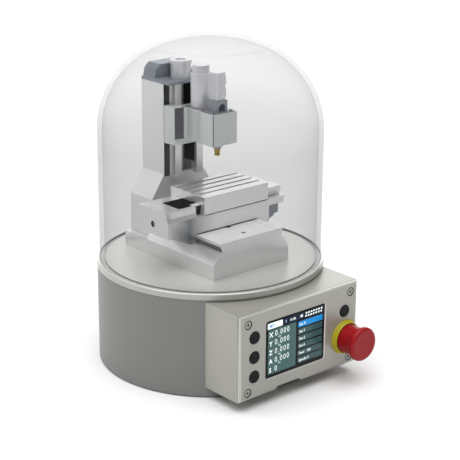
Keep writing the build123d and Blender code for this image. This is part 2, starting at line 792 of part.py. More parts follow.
with BuildPart() as saddle:
    with BuildSketch(facing_front(saddle_back_y)):
        Polygon(*saddle_outline)
    extrude(amount=saddle_back_y - saddle_front_y)
    # the front band runs on to the right-hand end, over the tail bracket
    with BuildSketch(facing_front(tail_band_back_y)):
        with Locations(((saddle_tail_x + saddle_half_length) / 2, (tail_band_bottom + ledge_level) / 2)):
            Rectangle(saddle_half_length - saddle_tail_x, ledge_level - tail_band_bottom)
    extrude(amount=tail_band_back_y - saddle_front_y)
    # the deck: a full-width block at the left end, then the ways of the table
    with BuildSketch(facing_right(saddle_left_x)):
        Polygon(
            (saddle_front_y, ledge_level),
            (deck_front_y, ledge_level + 3.4),
            (deck_front_y, deck_top),
            (saddle_back_y, deck_top),
            (saddle_back_y, ledge_level),
        )
    extrude(amount=deck_block_end_x - saddle_left_x)
    with BuildSketch(facing_right(deck_block_end_x)):
        Polygon(
            (x_way_front_y + x_way_neck, ledge_level),
            (x_way_front_y + x_way_neck, ledge_level + 1.1),
            (x_way_front_y, ledge_level + 5.8),
            (x_way_front_y, deck_top),
            (x_way_back_y, deck_top),
            (x_way_back_y, ledge_level + 5.8),
            (x_way_back_y - x_way_neck, ledge_level + 1.1),
            (x_way_back_y - x_way_neck, ledge_level),
        )
    extrude(amount=saddle_half_length - deck_block_end_x)
    # the screw's pocket, wide open in the end block and narrower between the ways
    with BuildSketch(level(pocket_bottom)):
        with Locations(((pocket_left_x + pocket_right_x) / 2, (pocket_front_y + pocket_back_y) / 2)):
            Rectangle(pocket_right_x - pocket_left_x, pocket_back_y - pocket_front_y)
        with Locations(((pocket_left_x + deck_block_end_x) / 2, (pocket_wide_front_y + pocket_back_y) / 2)):
            Rectangle(deck_block_end_x - pocket_left_x, pocket_back_y - pocket_wide_front_y)
    extrude(amount=deck_top - pocket_bottom, mode=Mode.SUBTRACT)
    # bores for the screw and the motor
    with BuildSketch(facing_right(saddle_left_x)):
        with Locations((x_screw_y, x_screw_z)):
            Circle(screw_radius + running_gap)
    extrude(amount=saddle_tail_x - saddle_left_x + 1, mode=Mode.SUBTRACT)
    with BuildSketch(facing_right(saddle_tail_x)):
        with Locations((x_screw_y, x_screw_z)):
            Circle(x_motor_radius + loose_gap)
    extrude(amount=saddle_half_length - saddle_tail_x, mode=Mode.SUBTRACT)
save(saddle.part, "saddle")

with BuildPart() as saddle_end_plate:
    with BuildSketch(facing_right(-saddle_half_length)):
        Polygon(
            (saddle_front_y, jaw_outer_height),
            (saddle_front_y, ledge_level),
            (deck_front_y, ledge_level + 3.4),
            (deck_front_y, deck_top),
            (saddle_back_y, deck_top),
            (saddle_back_y, jaw_outer_height),
        )
        with Locations((x_screw_y, x_screw_z)):
            Circle(screw_radius + shaft_gap, mode=Mode.SUBTRACT)
    extrude(amount=end_plate_thickness)
save(saddle_end_plate.part, "saddle_end_plate")

with BuildPart() as tail_bracket:
    with BuildSketch(facing_front(saddle_back_y - 4)):
        Polygon(
            (saddle_tail_x, ledge_level),
            (saddle_tail_x, saddle_bottom + 1.2),
            (saddle_tail_x + 4, saddle_bottom + 1.2),
            (saddle_tail_x + 7, saddle_bottom + 4),
            (saddle_tail_x + 10, saddle_bottom + 4.4),
            (saddle_tail_x + 12, saddle_bottom + 7.4),
            (saddle_half_length - 2.2, saddle_bottom + 7.8),
            (saddle_half_length - 2.2, ledge_level),
        )
    extrude(amount=saddle_back_y - 4 - tail_band_back_y)
    with BuildSketch(facing_right(saddle_tail_x)):
        with Locations((x_screw_y, x_screw_z)):
            Circle(x_motor_radius + press_gap)
    extrude(amount=saddle_half_length - saddle_tail_x, mode=Mode.SUBTRACT)
save(tail_bracket.part, "tail_bracket")

with BuildPart() as x_motor:
    with BuildSketch(facing_right(x_motor_face_x)):
        with Locations((x_screw_y, x_screw_z)):
            Circle(x_motor_radius)
    extrude(amount=x_motor_back_x - x_motor_face_x)
    with BuildSketch(facing_right(x_motor_face_x)):
        with Locations((x_screw_y, x_screw_z)):
            Circle(screw_radius + shaft_gap)
    extrude(amount=5, mode=Mode.SUBTRACT)
save(x_motor.part, "x_motor")

with BuildPart() as x_screw:
    with BuildSketch(facing_right(-saddle_half_length + 1.5)):
        with Locations((x_screw_y, x_screw_z)):
            Circle(screw_radius)
    extrude(amount=saddle_half_length - 1.5 + x_motor_face_x + 4)
save(x_screw.part, "x_screw")

x_nut_length = 10.0
with BuildPart() as x_nut:
    with BuildSketch(facing_right(table_mid_x - x_nut_length / 2)):
        with Locations((x_screw_y, x_screw_z)):
            Rectangle(10, 10)
        with Locations((x_screw_y, (x_screw_z + 4 + table_ceiling) / 2)):
            Rectangle(7, table_ceiling - x_screw_z - 4)
        with Locations((x_screw_y, x_screw_z)):
            Circle(screw_radius + shaft_gap, mode=Mode.SUBTRACT)
    extrude(amount=x_nut_length)
save(x_nut.part, "x_nut")

# the table: a plate with T-slots, and a skirt along each side that hooks under the ways
slot_rows = [table_mid_y + 2.4 + (row - 1.5) * t_slot_pitch for row in range(4)]
t_slot_neck_depth = 2.2
t_slot_depth = 4.4
skirt_flare = x_way_neck - 0.05
with BuildPart() as table:
    with BuildSketch(facing_right(table_rest_left_x)):
        Polygon(
            (table_front_y, table_bottom),
            (x_way_front_y - running_gap + skirt_flare, table_bottom),
            (x_way_front_y - running_gap + skirt_flare, table_bottom + 0.8),
            (x_way_front_y - running_gap, table_bottom + 5.8),
            (x_way_front_y - running_gap, table_ceiling),
            (x_way_back_y + running_gap, table_ceiling),
            (x_way_back_y + running_gap, table_bottom + 5.8),
            (x_way_back_y + running_gap - skirt_flare, table_bottom + 0.8),
            (x_way_back_y + running_gap - skirt_flare, table_bottom),
            (table_back_y, table_bottom),
            (table_back_y, table_top),
            (table_front_y, table_top),
        )
        for y in slot_rows:
            with Locations((y, table_top - t_slot_neck_depth / 2)):
                Rectangle(t_slot_neck, t_slot_neck_depth + 0.02, mode=Mode.SUBTRACT)
            with Locations((y, table_top - (t_slot_neck_depth + t_slot_depth) / 2)):
                Rectangle(t_slot_width, t_slot_depth - t_slot_neck_depth, mode=Mode.SUBTRACT)
    extrude(amount=table_length)
save(table.part, "table")

# ---------------------------------------------------------------- column and Z axis
channel_back_y = column_front_y + channel_depth
cavity_half_width = 18.0
cavity_front_y = channel_back_y + 5
cover_thickness = 2.0
cavity_bottom = slab_top + 8
cavity_top = column_top - 10
screw_foot_depth = 5.0
with BuildPart() as column:
    with BuildSketch(facing_front(base_back_y)):
        Polygon(*mirrored([
            (column_foot_half_width, slab_top),
            (column_foot_half_width, slab_top + column_foot_height),
            (column_half_width, channel_bottom),
            (column_half_width, column_top),
        ]))
    extrude(amount=base_back_y - column_front_y)
    # the channel of the lead screw, open to the front and at the top
    with BuildSketch(level(channel_bottom)):
        with Locations((0, column_front_y + channel_depth / 2)):
            Rectangle(2 * channel_half_width, channel_depth)
    extrude(amount=column_top - channel_bottom, mode=Mode.SUBTRACT)
    with BuildSketch(level(channel_bottom - screw_foot_depth)):
        with Locations((0, z_screw_y)):
            Circle(screw_radius + shaft_gap)
    extrude(amount=screw_foot_depth, mode=Mode.SUBTRACT)
    # the hollow back and the rebate of its cover
    with BuildSketch(facing_front(base_back_y)):
        with Locations((0, (cavity_bottom + cavity_top) / 2)):
            Rectangle(2 * cavity_half_width, cavity_top - cavity_bottom)
    extrude(amount=base_back_y - cavity_front_y, mode=Mode.SUBTRACT)
    with BuildSketch(facing_front(base_back_y)):
        with Locations((0, (cavity_bottom + cavity_top) / 2)):
            Rectangle(2 * cavity_half_width + 6, cavity_top - cavity_bottom + 6)
    extrude(amount=cover_thickness, mode=Mode.SUBTRACT)
save(column.part, "column")

with BuildPart() as column_cover:
    with BuildSketch(facing_front(base_back_y)):
        with Locations((0, (cavity_bottom + cavity_top) / 2)):
            RectangleRounded(2 * cavity_half_width + 5.6, cavity_top - cavity_bottom + 5.6, 1)
    extrude(amount=cover_thickness)
save(column_cover.part, "column_cover")

# the two rails of the Z dovetail, with round lower ends
rail_bottom = channel_bottom - 2.5
with BuildPart() as z_rails:
    with BuildSketch(level(rail_bottom)):
        Polygon(
            (channel_half_width, column_front_y),
            (channel_half_width, column_front_y - rail_depth),
            (rail_front_half_width, column_front_y - rail_depth),
            (rail_root_half_width, column_front_y),
        )
        mirror(about=Plane.YZ)
    extrude(amount=column_top - rail_bottom)
save(z_rails.part, "z_rails")

# a black trough that lines the channel and keeps chips off its walls
guard_wall = 0.8
guard_bottom = channel_bottom + 9
guard_front_y = column_front_y - rail_depth + 3.5
with BuildPart() as screw_guard:
    with BuildSketch(level(guard_bottom)):
        with Locations((0, (guard_front_y + channel_back_y - loose_gap) / 2)):
            Rectangle(2 * (channel_half_width - loose_gap), channel_back_y - loose_gap - guard_front_y)
        with Locations((0, (guard_front_y + channel_back_y - loose_gap - guard_wall) / 2)):
            Rectangle(2 * (channel_half_width - loose_gap - guard_wall),
                channel_back_y - loose_gap - guard_wall - guard_front_y, mode=Mode.SUBTRACT)
    extrude(amount=column_top - guard_bottom)
save(screw_guard.part, "screw_guard")

bracket_thickness = 3.0
bracket_top = column_top + bracket_thickness
z_motor_height = 18.0
with BuildPart() as z_screw:
    with BuildSketch(level(channel_bottom - screw_foot_depth + 1)):
        with Locations((0, z_screw_y)):
            Circle(screw_radius)
    extrude(amount=bracket_top + 4 - (channel_bottom - screw_foot_depth + 1))
save(z_screw.part, "z_screw")

hood_front_y = z_screw_y + motor_radius + 1.0
with BuildPart() as z_bracket:
    with BuildSketch(level(column_top)):
        with Locations((0, (column_front_y - rail_depth + base_back_y) / 2)):
            Rectangle(2 * column_half_width, base_back_y - column_front_y + rail_depth)
        with Locations((0, z_screw_y)):
            Circle(screw_radius + 0.6, mode=Mode.SUBTRACT)
    extrude(amount=bracket_thickness)
    with BuildSketch(facing_front(base_back_y - 1.5)):
        Polygon(*mirrored([
            (column_half_width - 0.8, bracket_top),
            (column_half_width - 3.0, bracket_top + 14),
            (column_half_width - 8.0, bracket_top + 18.5),
        ]))
    extrude(amount=base_back_y - 1.5 - hood_front_y)
save(z_bracket.part, "z_bracket")

with BuildPart() as z_motor:
    with BuildSketch(level(bracket_top)):
        with Locations((0, z_screw_y)):
            Circle(motor_radius)
    extrude(amount=z_motor_height)
    with BuildSketch(level(bracket_top + z_motor_height - 4)):
        with Locations((0, z_screw_y)):
            Circle(motor_radius + 0.9)
    extrude(amount=4)
    with BuildSketch(level(bracket_top + z_motor_height - 1.5)):
        with Locations((0, z_screw_y)):
            Circle(5.0)
    extrude(amount=1.5, mode=Mode.SUBTRACT)
    with BuildSketch(level(bracket_top)):
        with Locations((0, z_screw_y)):
            Circle(screw_radius + shaft_gap)
    extrude(amount=5, mode=Mode.SUBTRACT)
save(z_motor.part, "z_motor")

# ---------------------------------------------------------------- head and spindle
z_nut_bottom = wing_bottom + 12
z_nut_height = 12.0
rail_front_y = column_front_y - rail_depth
head_back_y = rail_front_y - running_gap
with BuildPart() as z_nut:
    with BuildSketch(level(z_nut_bottom)):
        with Locations((0, z_screw_y)):
            Rectangle(12, 9.6)
        with Locations((0, (head_back_y + z_screw_y - 4) / 2)):
            Rectangle(9, z_screw_y - 4 - head_back_y)
        with Locations((0, z_screw_y)):
            Circle(screw_radius + shaft_gap, mode=Mode.SUBTRACT)
    extrude(amount=z_nut_height)
save(z_nut.part, "z_nut")

# the head's plan: a square nose, a gentle waist and a wing that hooks round the rails
wing_half_width = column_half_width - 0.15
wing_back_y = column_front_y - running_gap
shoulder_y = 20.5
head_wall = 2.6
head_floor_height = 17.2
cover_ledge = 1.3
cover_drop = 1.0
head_side = [
    (head_front_half_width, head_front_y),
    (head_front_half_width, -8.0),
    (head_waist_half_width, 8.0),
    (head_waist_half_width, shoulder_y - 2),
]


def head_plan(inset, back_y, back_half_width):
    """The head's outline from above, drawn in from its nose and sides by an inset."""
    (nose_x, nose_y), (flank_x, flank_y), (waist_x, waist_y), (root_x, root_y) = head_side
    with BuildLine() as plan:
        nose = Line((0, nose_y + inset), (nose_x - inset, nose_y + inset))
        flank = Line(nose @ 1, (flank_x - inset, flank_y))
        sweep_in = Spline(flank @ 1, (waist_x - inset, waist_y), tangents=[(0, 1), (0, 1)])
        waist = Line(sweep_in @ 1, (root_x - inset, root_y))
        flare = Spline(waist @ 1, (back_half_width, back_y), tangents=[(0, 1), (1, 0.35)])
        close = Line(flare @ 1, (0, back_y))
        mirror(about=Plane.YZ)
    return plan.line


with BuildPart() as head:
    with BuildSketch(level(head_bottom)) as nose_plan:
        add(head_plan(0, wing_front_y, wing_half_width))
        make_face()
    extrude(amount=head_height)
    # the wing behind, taller than the nose, with the dovetail cut for the rails
    with BuildSketch(level(wing_bottom)):
        with Locations((0, (wing_front_y + wing_back_y) / 2)):
            Rectangle(2 * wing_half_width, wing_back_y - wing_front_y)
    extrude(amount=wing_height)
    with BuildSketch(level(wing_bottom)):
        Polygon(
            (-rail_front_half_width - 0.4, head_back_y),
            (rail_front_half_width + 0.4, head_back_y),
            (rail_root_half_width + 0.4, wing_back_y + 0.2),
            (-rail_root_half_width - 0.4, wing_back_y + 0.2),
        )
    extrude(amount=wing_height, mode=Mode.SUBTRACT)
    # the belt chamber and the ledge of its cover
    with BuildSketch(level(head_bottom + head_floor_height)):
        add(head_plan(head_wall, wing_front_y - 1, head_waist_half_width))
        make_face()
    extrude(amount=head_height, mode=Mode.SUBTRACT)
    with BuildSketch(level(head_top - cover_drop)):
        add(head_plan(cover_ledge, wing_front_y, head_waist_half_width + 4))
        make_face()
    extrude(amount=cover_drop, mode=Mode.SUBTRACT)
    # the spindle's bore and boss
    with BuildSketch(level(head_bottom - 2.8)):
        with Locations((0, spindle_y)):
            Circle(6.4)
    extrude(amount=2.8)
    with BuildSketch(level(head_bottom - 2.8)):
        with Locations((0, spindle_y)):
            Circle(spindle_radius + 0.5)
    extrude(amount=head_height, mode=Mode.SUBTRACT)
    with BuildSketch(level(head_bottom + 1)):
        with Locations((0, spindle_y)):
            Circle(8.0)
    extrude(amount=head_height, mode=Mode.SUBTRACT)
save(head.part, "head")

with BuildPart() as spindle_bearings:
    for z in (head_bottom + 1, head_bottom + head_floor_height - 5):
        with BuildSketch(level(z)):
            with Locations((0, spindle_y)):
                Circle(8.0 - press_gap)
                Circle(spindle_radius + shaft_gap, mode=Mode.SUBTRACT)
        extrude(amount=5)
save(spindle_bearings.part, "spindle_bearings")

spindle_bottom = head_bottom - 5.4
pulley_radius = 6.0
pulley_height = 7.0
pulley_bottom = head_bottom + head_floor_height + 2
with BuildPart() as spindle:
    with BuildSketch(level(spindle_bottom)):
        with Locations((0, spindle_y)):
            Circle(spindle_radius)
    extrude(amount=pulley_bottom + pulley_height + 1 - spindle_bottom)
    with BuildSketch(level(spindle_bottom)):
        with Locations((0, spindle_y)):
            Circle(collet_bore_radius + 0.3)
    extrude(amount=6, mode=Mode.SUBTRACT)
save(spindle.part, "spindle")

with BuildPart() as spindle_pulley:
    with BuildSketch(level(pulley_bottom)):
        with Locations((0, spindle_y)):
            Circle(pulley_radius)
            Circle(spindle_radius + press_gap, mode=Mode.SUBTRACT)
    extrude(amount=pulley_height)
save(spindle_pulley.part, "spindle_pulley")

with BuildPart() as collet:
    with BuildSketch(Plane.XZ.offset(-spindle_y)):
        Polygon(
            (collet_bore_radius, spindle_bottom - collet_length),
            (collet_radius - 0.4, spindle_bottom - collet_length),
            (collet_radius, spindle_bottom - collet_length + 0.5),
            (collet_radius, spindle_bottom - collet_length + 1.8),
            (collet_radius - 0.7, spindle_bottom - collet_length + 2.2),
            (collet_radius - 0.7, spindle_bottom - collet_length + 2.9),
            (collet_radius, spindle_bottom - collet_length + 3.3),
            (collet_radius, spindle_bottom),
            (collet_bore_radius, spindle_bottom),
        )
    revolve(axis=Axis((0, spindle_y, 0), (0, 0, 1)))
save(collet.part, "collet")

cover_bottom = head_top - cover_drop
cover_plate_thickness = 1.6
cover_top = cover_bottom + cover_plate_thickness
motor_shaft_radius = 1.5
with BuildPart() as head_cover:
    with BuildSketch(level(cover_bottom)):
        add(head_plan(cover_ledge + 0.3, wing_front_y - 0.4, head_waist_half_width + 2.4))
        make_face()
        with Locations((0, spindle_motor_y)):
            Circle(motor_shaft_radius + 1, mode=Mode.SUBTRACT)
    extrude(amount=cover_plate_thickness)
save(head_cover.part, "head_cover")

cover_screw_places = [(side * x, y) for side in (-1, 1) for x, y in ((10.6, -17.4), (10.9, -1.2), (11.2, 25.0 - 2.6))]
with BuildPart() as cover_screws:
    with BuildSketch(level(cover_top)):
        with Locations(*cover_screw_places):
            Circle(1.5)
            RegularPolygon(radius=0.75, side_count=6, mode=Mode.SUBTRACT)
    extrude(amount=1.1)
save(cover_screws.part, "cover_screws")

with BuildPart() as spindle_motor:
    with BuildSketch(level(cover_top)):
        with Locations((0, spindle_motor_y)):
            Circle(spindle_motor_radius)
    extrude(amount=33)
    with BuildSketch(level(cover_top + 33)):
        with Locations((0, spindle_motor_y)):
            Circle(spindle_motor_radius - 1.6)
    extrude(amount=8)
    with BuildSketch(level(cover_top)):
        with Locations((0, spindle_motor_y)):
            Circle(motor_shaft_radius + shaft_gap)
    extrude(amount=8, mode=Mode.SUBTRACT)
save(spindle_motor.part, "spindle_motor")

with BuildPart() as motor_pulley:
    with BuildSketch(level(pulley_bottom)):
        with Locations((0, spindle_motor_y)):
            Circle(pulley_radius)
    extrude(amount=pulley_height)
    with BuildSketch(level(pulley_bottom)):
        with Locations((0, spindle_motor_y)):
            Circle(motor_shaft_radius)
    extrude(amount=cover_top + 7 - pulley_bottom)
save(motor_pulley.part, "motor_pulley")

belt_gap = 0.3
belt_thickness = 1.2
belt_span = spindle_motor_y - spindle_y
with BuildPart() as drive_belt:
    with BuildSketch(level(pulley_bottom + 0.8)):
        with Locations((0, (spindle_y + spindle_motor_y) / 2)):
            SlotCenterToCenter(belt_span, 2 * (pulley_radius + belt_gap + belt_thickness), rotation=90)
            SlotCenterToCenter(belt_span, 2 * (pulley_radius + belt_gap), rotation=90, mode=Mode.SUBTRACT)
    extrude(amount=pulley_height - 1.6)
save(drive_belt.part, "drive_belt")

# the release unit over the spindle: an arched bracket and a ribbed block with a lug
release_half_width = 6.9
arch_half_width = 4.0
arch_height = 7.5
release_bracket_height = 11.0
with BuildPart() as release_bracket:
    with BuildSketch(facing_front(spindle_y + release_half_width)):
        with Locations((0, cover_top + release_bracket_height / 2)):
            Rectangle(2 * release_half_width, release_bracket_height)
        with Locations((0, cover_top + (arch_height - arch_half_width) / 2)):
            Rectangle(2 * arch_half_width, arch_height - arch_half_width, mode=Mode.SUBTRACT)
        with Locations((0, cover_top + arch_height - arch_half_width)):
            Circle(arch_half_width, mode=Mode.SUBTRACT)
    extrude(amount=2 * release_half_width)
save(release_bracket.part, "release_bracket")

release_bottom = cover_top + release_bracket_height
release_height = 26.5
release_block_half_width = 5.4
with BuildPart() as release_unit:
    with BuildSketch(level(release_bottom)):
        with Locations((0, spindle_y)):
            Rectangle(2 * release_block_half_width, 2 * release_block_half_width)
            with GridLocations(0, 3.2, 1, 3):
                with Locations((-release_block_half_width, 0), (release_block_half_width, 0)):
                    Rectangle(1.2, 1.2, mode=Mode.SUBTRACT)
    extrude(amount=release_height)
    with BuildSketch(facing_front(spindle_y + 1.5)):
        with Locations((release_block_half_width + 1.3, release_bottom + 12)):
            Rectangle(3.6, 20)
        with Locations((release_block_half_width + 1.8, release_bottom + 12)):
            Rectangle(3, 3.5, mode=Mode.SUBTRACT)
    extrude(amount=4.5)
save(release_unit.part, "release_unit")
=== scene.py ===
# %% [markdown]
# # A desk-top milling machine under a clear dome
# The real machine is a small three-axis mill on a round drum. A clear dome covers it, and a control box
# with a screen, four push buttons and an emergency stop is fixed to the front of the drum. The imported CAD
# model is the fixed frame: it has the right sizes and the moving bodies. This lesson gives every surface its
# finish, and models again the pieces that need finer shapes than CAD solids have.

# %% Load the frame
import math

import json

import bpy
from mathutils import Matrix, Vector

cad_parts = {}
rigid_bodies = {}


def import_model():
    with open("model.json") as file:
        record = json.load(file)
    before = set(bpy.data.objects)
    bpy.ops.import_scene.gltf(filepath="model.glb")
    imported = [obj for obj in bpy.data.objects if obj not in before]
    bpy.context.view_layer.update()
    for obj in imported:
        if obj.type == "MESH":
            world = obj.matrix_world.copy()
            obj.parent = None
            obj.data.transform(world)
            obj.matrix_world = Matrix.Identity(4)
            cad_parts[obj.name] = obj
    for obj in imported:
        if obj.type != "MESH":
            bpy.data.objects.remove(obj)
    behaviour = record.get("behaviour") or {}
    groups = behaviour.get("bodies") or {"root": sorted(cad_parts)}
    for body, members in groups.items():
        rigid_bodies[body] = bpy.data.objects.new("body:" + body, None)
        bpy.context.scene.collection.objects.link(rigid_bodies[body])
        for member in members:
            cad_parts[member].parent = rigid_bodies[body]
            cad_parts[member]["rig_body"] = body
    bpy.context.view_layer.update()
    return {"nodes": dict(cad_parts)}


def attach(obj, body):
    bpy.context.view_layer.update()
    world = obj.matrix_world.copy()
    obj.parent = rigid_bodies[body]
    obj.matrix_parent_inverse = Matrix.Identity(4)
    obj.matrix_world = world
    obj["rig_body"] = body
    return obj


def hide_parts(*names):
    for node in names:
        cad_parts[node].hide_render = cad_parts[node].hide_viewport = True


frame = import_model()
nodes = frame["nodes"]
mm = 0.001

# %% [markdown]
# ## Shader arithmetic
# A material here is a small graph of nodes. Wiring them by hand hides the sums, so a class wraps a socket and
# takes Python's own operators: `1 - mask * 0.2` adds the Math nodes that it needs. All other nodes come from
# one method, which sets the node's choices first and then the values or links of its sockets.


# %% A socket that does arithmetic
class Wire:
    """An output socket of a material's graph, with Python's operators."""

    def __init__(self, tree, socket):
        self.tree = tree
        self.socket = socket

    def math(self, operation, *terms):
        """A Math node on these terms, each a number or a wire."""
        node = new_node(self.tree, "ShaderNodeMath", {"operation": operation}, dict(enumerate(terms)))
        return Wire(self.tree, node.outputs[0])

    def __add__(self, other):
        return self.math("ADD", self, other)

    def __radd__(self, other):
        return self.math("ADD", other, self)

    def __sub__(self, other):
        return self.math("SUBTRACT", self, other)

    def __rsub__(self, other):
        return self.math("SUBTRACT", other, self)

    def __mul__(self, other):
        return self.math("MULTIPLY", self, other)

    def __rmul__(self, other):
        return self.math("MULTIPLY", other, self)

    def __pow__(self, other):
        return self.math("POWER", self, other)

    def absolute(self):
        return self.math("ABSOLUTE", self)

    def at_least(self, limit):
        return self.math("MAXIMUM", self, limit)

    def at_most(self, limit):
        return self.math("MINIMUM", self, limit)

    def above(self, limit):
        return self.math("GREATER_THAN", self, limit)


def new_node(tree, kind, settings, inputs):
    """Adds one node: its settings first, then the values or links of its sockets."""
    node = tree.nodes.new(kind)
    for name, value in settings.items():
        setattr(node, name, value)
    for name, value in inputs.items():
        if isinstance(value, Wire):
            tree.links.new(value.socket, node.inputs[name])
        else:
            node.inputs[name].default_value = value
    return node


# %% A material that is drawn with wires
class Finish:
    """A material with an empty graph, and the few things that every finish uses."""

    def __init__(self, name):
        self.material = bpy.data.materials.new(name)
        self.material.use_nodes = True
        self.tree = self.material.node_tree
        self.tree.nodes.clear()

    def node(self, kind, settings=None, inputs=None, out=0):
        node = new_node(self.tree, kind, settings or {}, inputs or {})
        return Wire(self.tree, node.outputs[out])

    def place(self, stretch=(1, 1, 1)):
        """Object coordinates, squeezed along each axis."""
        here = self.node("ShaderNodeTexCoord", out="Object")
        return self.node("ShaderNodeMapping", {}, {"Vector": here, "Scale": stretch})

    def noise(self, scale, stretch=(1, 1, 1), detail=2.0, rough=0.5):
        inputs = {"Vector": self.place(stretch), "Scale": scale, "Detail": detail, "Roughness": rough}
        return self.node("ShaderNodeTexNoise", {}, inputs)

    def blend(self, factor, first, second):
        inputs = {0: factor, 6: first, 7: second}
        return self.node("ShaderNodeMix", {"data_type": "RGBA"}, inputs, out=2)

    def bump(self, height, depth, strength):
        return self.node("ShaderNodeBump", {}, {"Height": height, "Distance": depth, "Strength": strength})

    def done(self, surface):
        new_node(self.tree, "ShaderNodeOutputMaterial", {}, {"Surface": surface})
        return self.material


def shade(colour, amount):
    """A colour made lighter or darker, as a shader colour with its alpha."""
    return tuple(min(1.0, part * amount) for part in colour) + (1.0,)


finishes = {}
print("shader helpers are ready")

# %% [markdown]
# ## Bead-blasted and anodised aluminium
# The drum, the rim and the control box are aluminium, blasted with fine beads and then anodised. Light
# spreads softly on them and there is no line or scratch, only a very fine grain. A surface that is partly
# metallic and rather rough gives that. Two noises do the rest: a slow one moves the colour by a few percent,
# as anodising does, and a fine one makes the grain by bump and by roughness.


# %% Blasted finish
def blasted(name, colour, rough, metal, coat=0.0):
    finish = Finish(name)
    drift = 0.06
    slow = finish.noise(18.0, detail=3.0)
    grain = finish.noise(2600.0, detail=1.0)
    tone = finish.blend(slow, shade(colour, 1 - drift), shade(colour, 1 + drift))
    inputs = {
        "Base Color": finish.blend(grain * 0.35, tone, shade(colour, 0.86)),
        "Metallic": metal,
        "Roughness": rough - 0.05 + grain * 0.1,
        "Coat Weight": coat,
        "Normal": finish.bump(grain, 0.00001, 0.3),
    }
    finishes[name] = finish.done(finish.node("ShaderNodeBsdfPrincipled", {}, inputs))


blasted("drum_grey", (0.20, 0.20, 0.193), 0.42, metal=0.3)
blasted("rim_silver", (0.42, 0.415, 0.385), 0.34, metal=0.25, coat=0.3)
# painted light: the rim's floor inside the dome, a lighter copy of the rim's finish
blasted("rim_floor_painted_light", (0.80, 0.795, 0.77), 0.3, metal=0.2)
blasted("box_silver", (0.36, 0.357, 0.32), 0.33, metal=0.25, coat=0.3)
blasted("head_grey", (0.68, 0.70, 0.705), 0.34, metal=0.25)
# painted shade and painted reflection: a dark grey for the base's way necks, the head's slanting faces and
# the nose's corners
blasted("head_painted_shade", (0.13, 0.13, 0.14), 0.4, metal=0.3)
# painted shade: near-black sheets beside the column's rails
blasted("rail_painted_shade", (0.03, 0.034, 0.042), 0.3, metal=0.3)
blasted("cover_grey", (0.30, 0.305, 0.335), 0.36, metal=0.25)
blasted("bracket_grey", (0.30, 0.33, 0.37), 0.34, metal=0.25)
blasted("motor_grey", (0.80, 0.805, 0.83), 0.32, metal=0.25)
# painted highlight: a paler copy for edges that catch the light
blasted("painted_highlight", (0.62, 0.615, 0.58), 0.25, metal=0.3, coat=0.3)
print("blasted finishes:", ", ".join(finishes))

# %% [markdown]
# ## Milled aluminium and steel
# The mill itself is bare metal with the traces of the cutter. The traces run along the stroke of the cutter,
# so the noise is stretched: close together across the stroke and long along it. The lines are shallow, and
# they change the roughness more than the colour.


# %% Milled finish
def milled(name, colour, rough, stroke, metal=0.55, lines=2200.0, depth=0.000006, painted_reflection=None):
    """Bare metal; a painted reflection (its place on X, and its width) lays a dark bluish patch on one end,
    where the metal mirrors a dark gap.
    """
    finish = Finish(name)
    slow = finish.noise(26.0, detail=2.0)
    trace = finish.noise(lines, stretch=stroke, detail=3.0, rough=0.6)
    tone = finish.blend(slow, shade(colour, 0.93), shade(colour, 1.05))
    if painted_reflection:
        middle, width = painted_reflection
        at_x = finish.node("ShaderNodeSeparateXYZ", {}, {"Vector": finish.place()}, out="X")
        away = (at_x - middle).absolute() * (1 / width)
        reflection_fade = (1 - away).at_least(0.0) ** 1.5
        tone = finish.blend(reflection_fade * 0.85, tone, (0.09, 0.105, 0.12, 1))
    inputs = {
        "Base Color": finish.blend(trace * 0.06, tone, shade(colour, 0.86)),
        "Metallic": metal,
        "Roughness": rough - 0.02 + trace * 0.03 + slow * 0.04,
        "Normal": finish.bump(trace, depth, 0.04),
    }
    finishes[name] = finish.done(finish.node("ShaderNodeBsdfPrincipled", {}, inputs))


milled("machined_aluminium", (0.86, 0.86, 0.86), 0.24, stroke=(0.02, 1, 1))
milled("machined_cross", (0.86, 0.86, 0.86), 0.22, stroke=(1, 0.05, 1))
milled("machined_column", (0.80, 0.81, 0.805), 0.28, stroke=(1, 1, 0.04))
# painted reflection: a dark bluish patch at the left end of the saddle's front
milled("aluminium_painted_reflection", (0.86, 0.86, 0.86), 0.24, stroke=(0.02, 1, 1), painted_reflection=(-0.048, 0.036))
# painted light: a pale, nearly matte copy of the milled metal for the lit tops of the base's ways
milled("way_top_painted_light", (0.95, 0.95, 0.95), 0.4, stroke=(1, 0.02, 1), metal=0.05)
milled("plain_aluminium", (0.7, 0.7, 0.71), 0.35, stroke=(1, 1, 0.1))
milled("ground_rail", (0.88, 0.89, 0.88), 0.16, stroke=(1, 1, 0.02), lines=1600.0, depth=0.00001)
milled("screw_steel", (0.30, 0.30, 0.295), 0.3, stroke=(1, 1, 1), lines=1800.0)
milled("panel_screw_steel", (0.34, 0.335, 0.31), 0.32, stroke=(1, 1, 1), lines=1800.0)
milled("brass", (0.40, 0.27, 0.06), 0.25, stroke=(0.1, 0.1, 1), metal=1.0, lines=3000.0)
milled("heat_sink", (0.2, 0.2, 0.22), 0.35, stroke=(1, 0.05, 1), metal=0.4)
print("milled finishes:", len(finishes), "so far")

# %% [markdown]
# ## Plastics and rubber
# Moulded plastic has a satin skin with a fine spark-eroded texture, and rubber is duller and a little dusty.
# Both are plain dielectric surfaces, where noise drives the roughness and a small bump.


# %% Moulded finish
def moulded(name, colour, rough, texture=1500.0, depth=0.00004, shine=0.5, dust=0.1):
    finish = Finish(name)
    skin = finish.noise(texture, detail=2.0)
    slow = finish.noise(40.0, detail=2.0)
    tone = finish.blend(slow, shade(colour, 1 - dust), shade(colour, 1 + dust))
    inputs = {
        "Base Color": tone,
        "Roughness": rough - 0.06 + skin * 0.08 + slow * 0.08,
        "Specular IOR Level": shine,
        "Normal": finish.bump(skin, depth, 0.4),
    }
    finishes[name] = finish.done(finish.node("ShaderNodeBsdfPrincipled", {}, inputs))


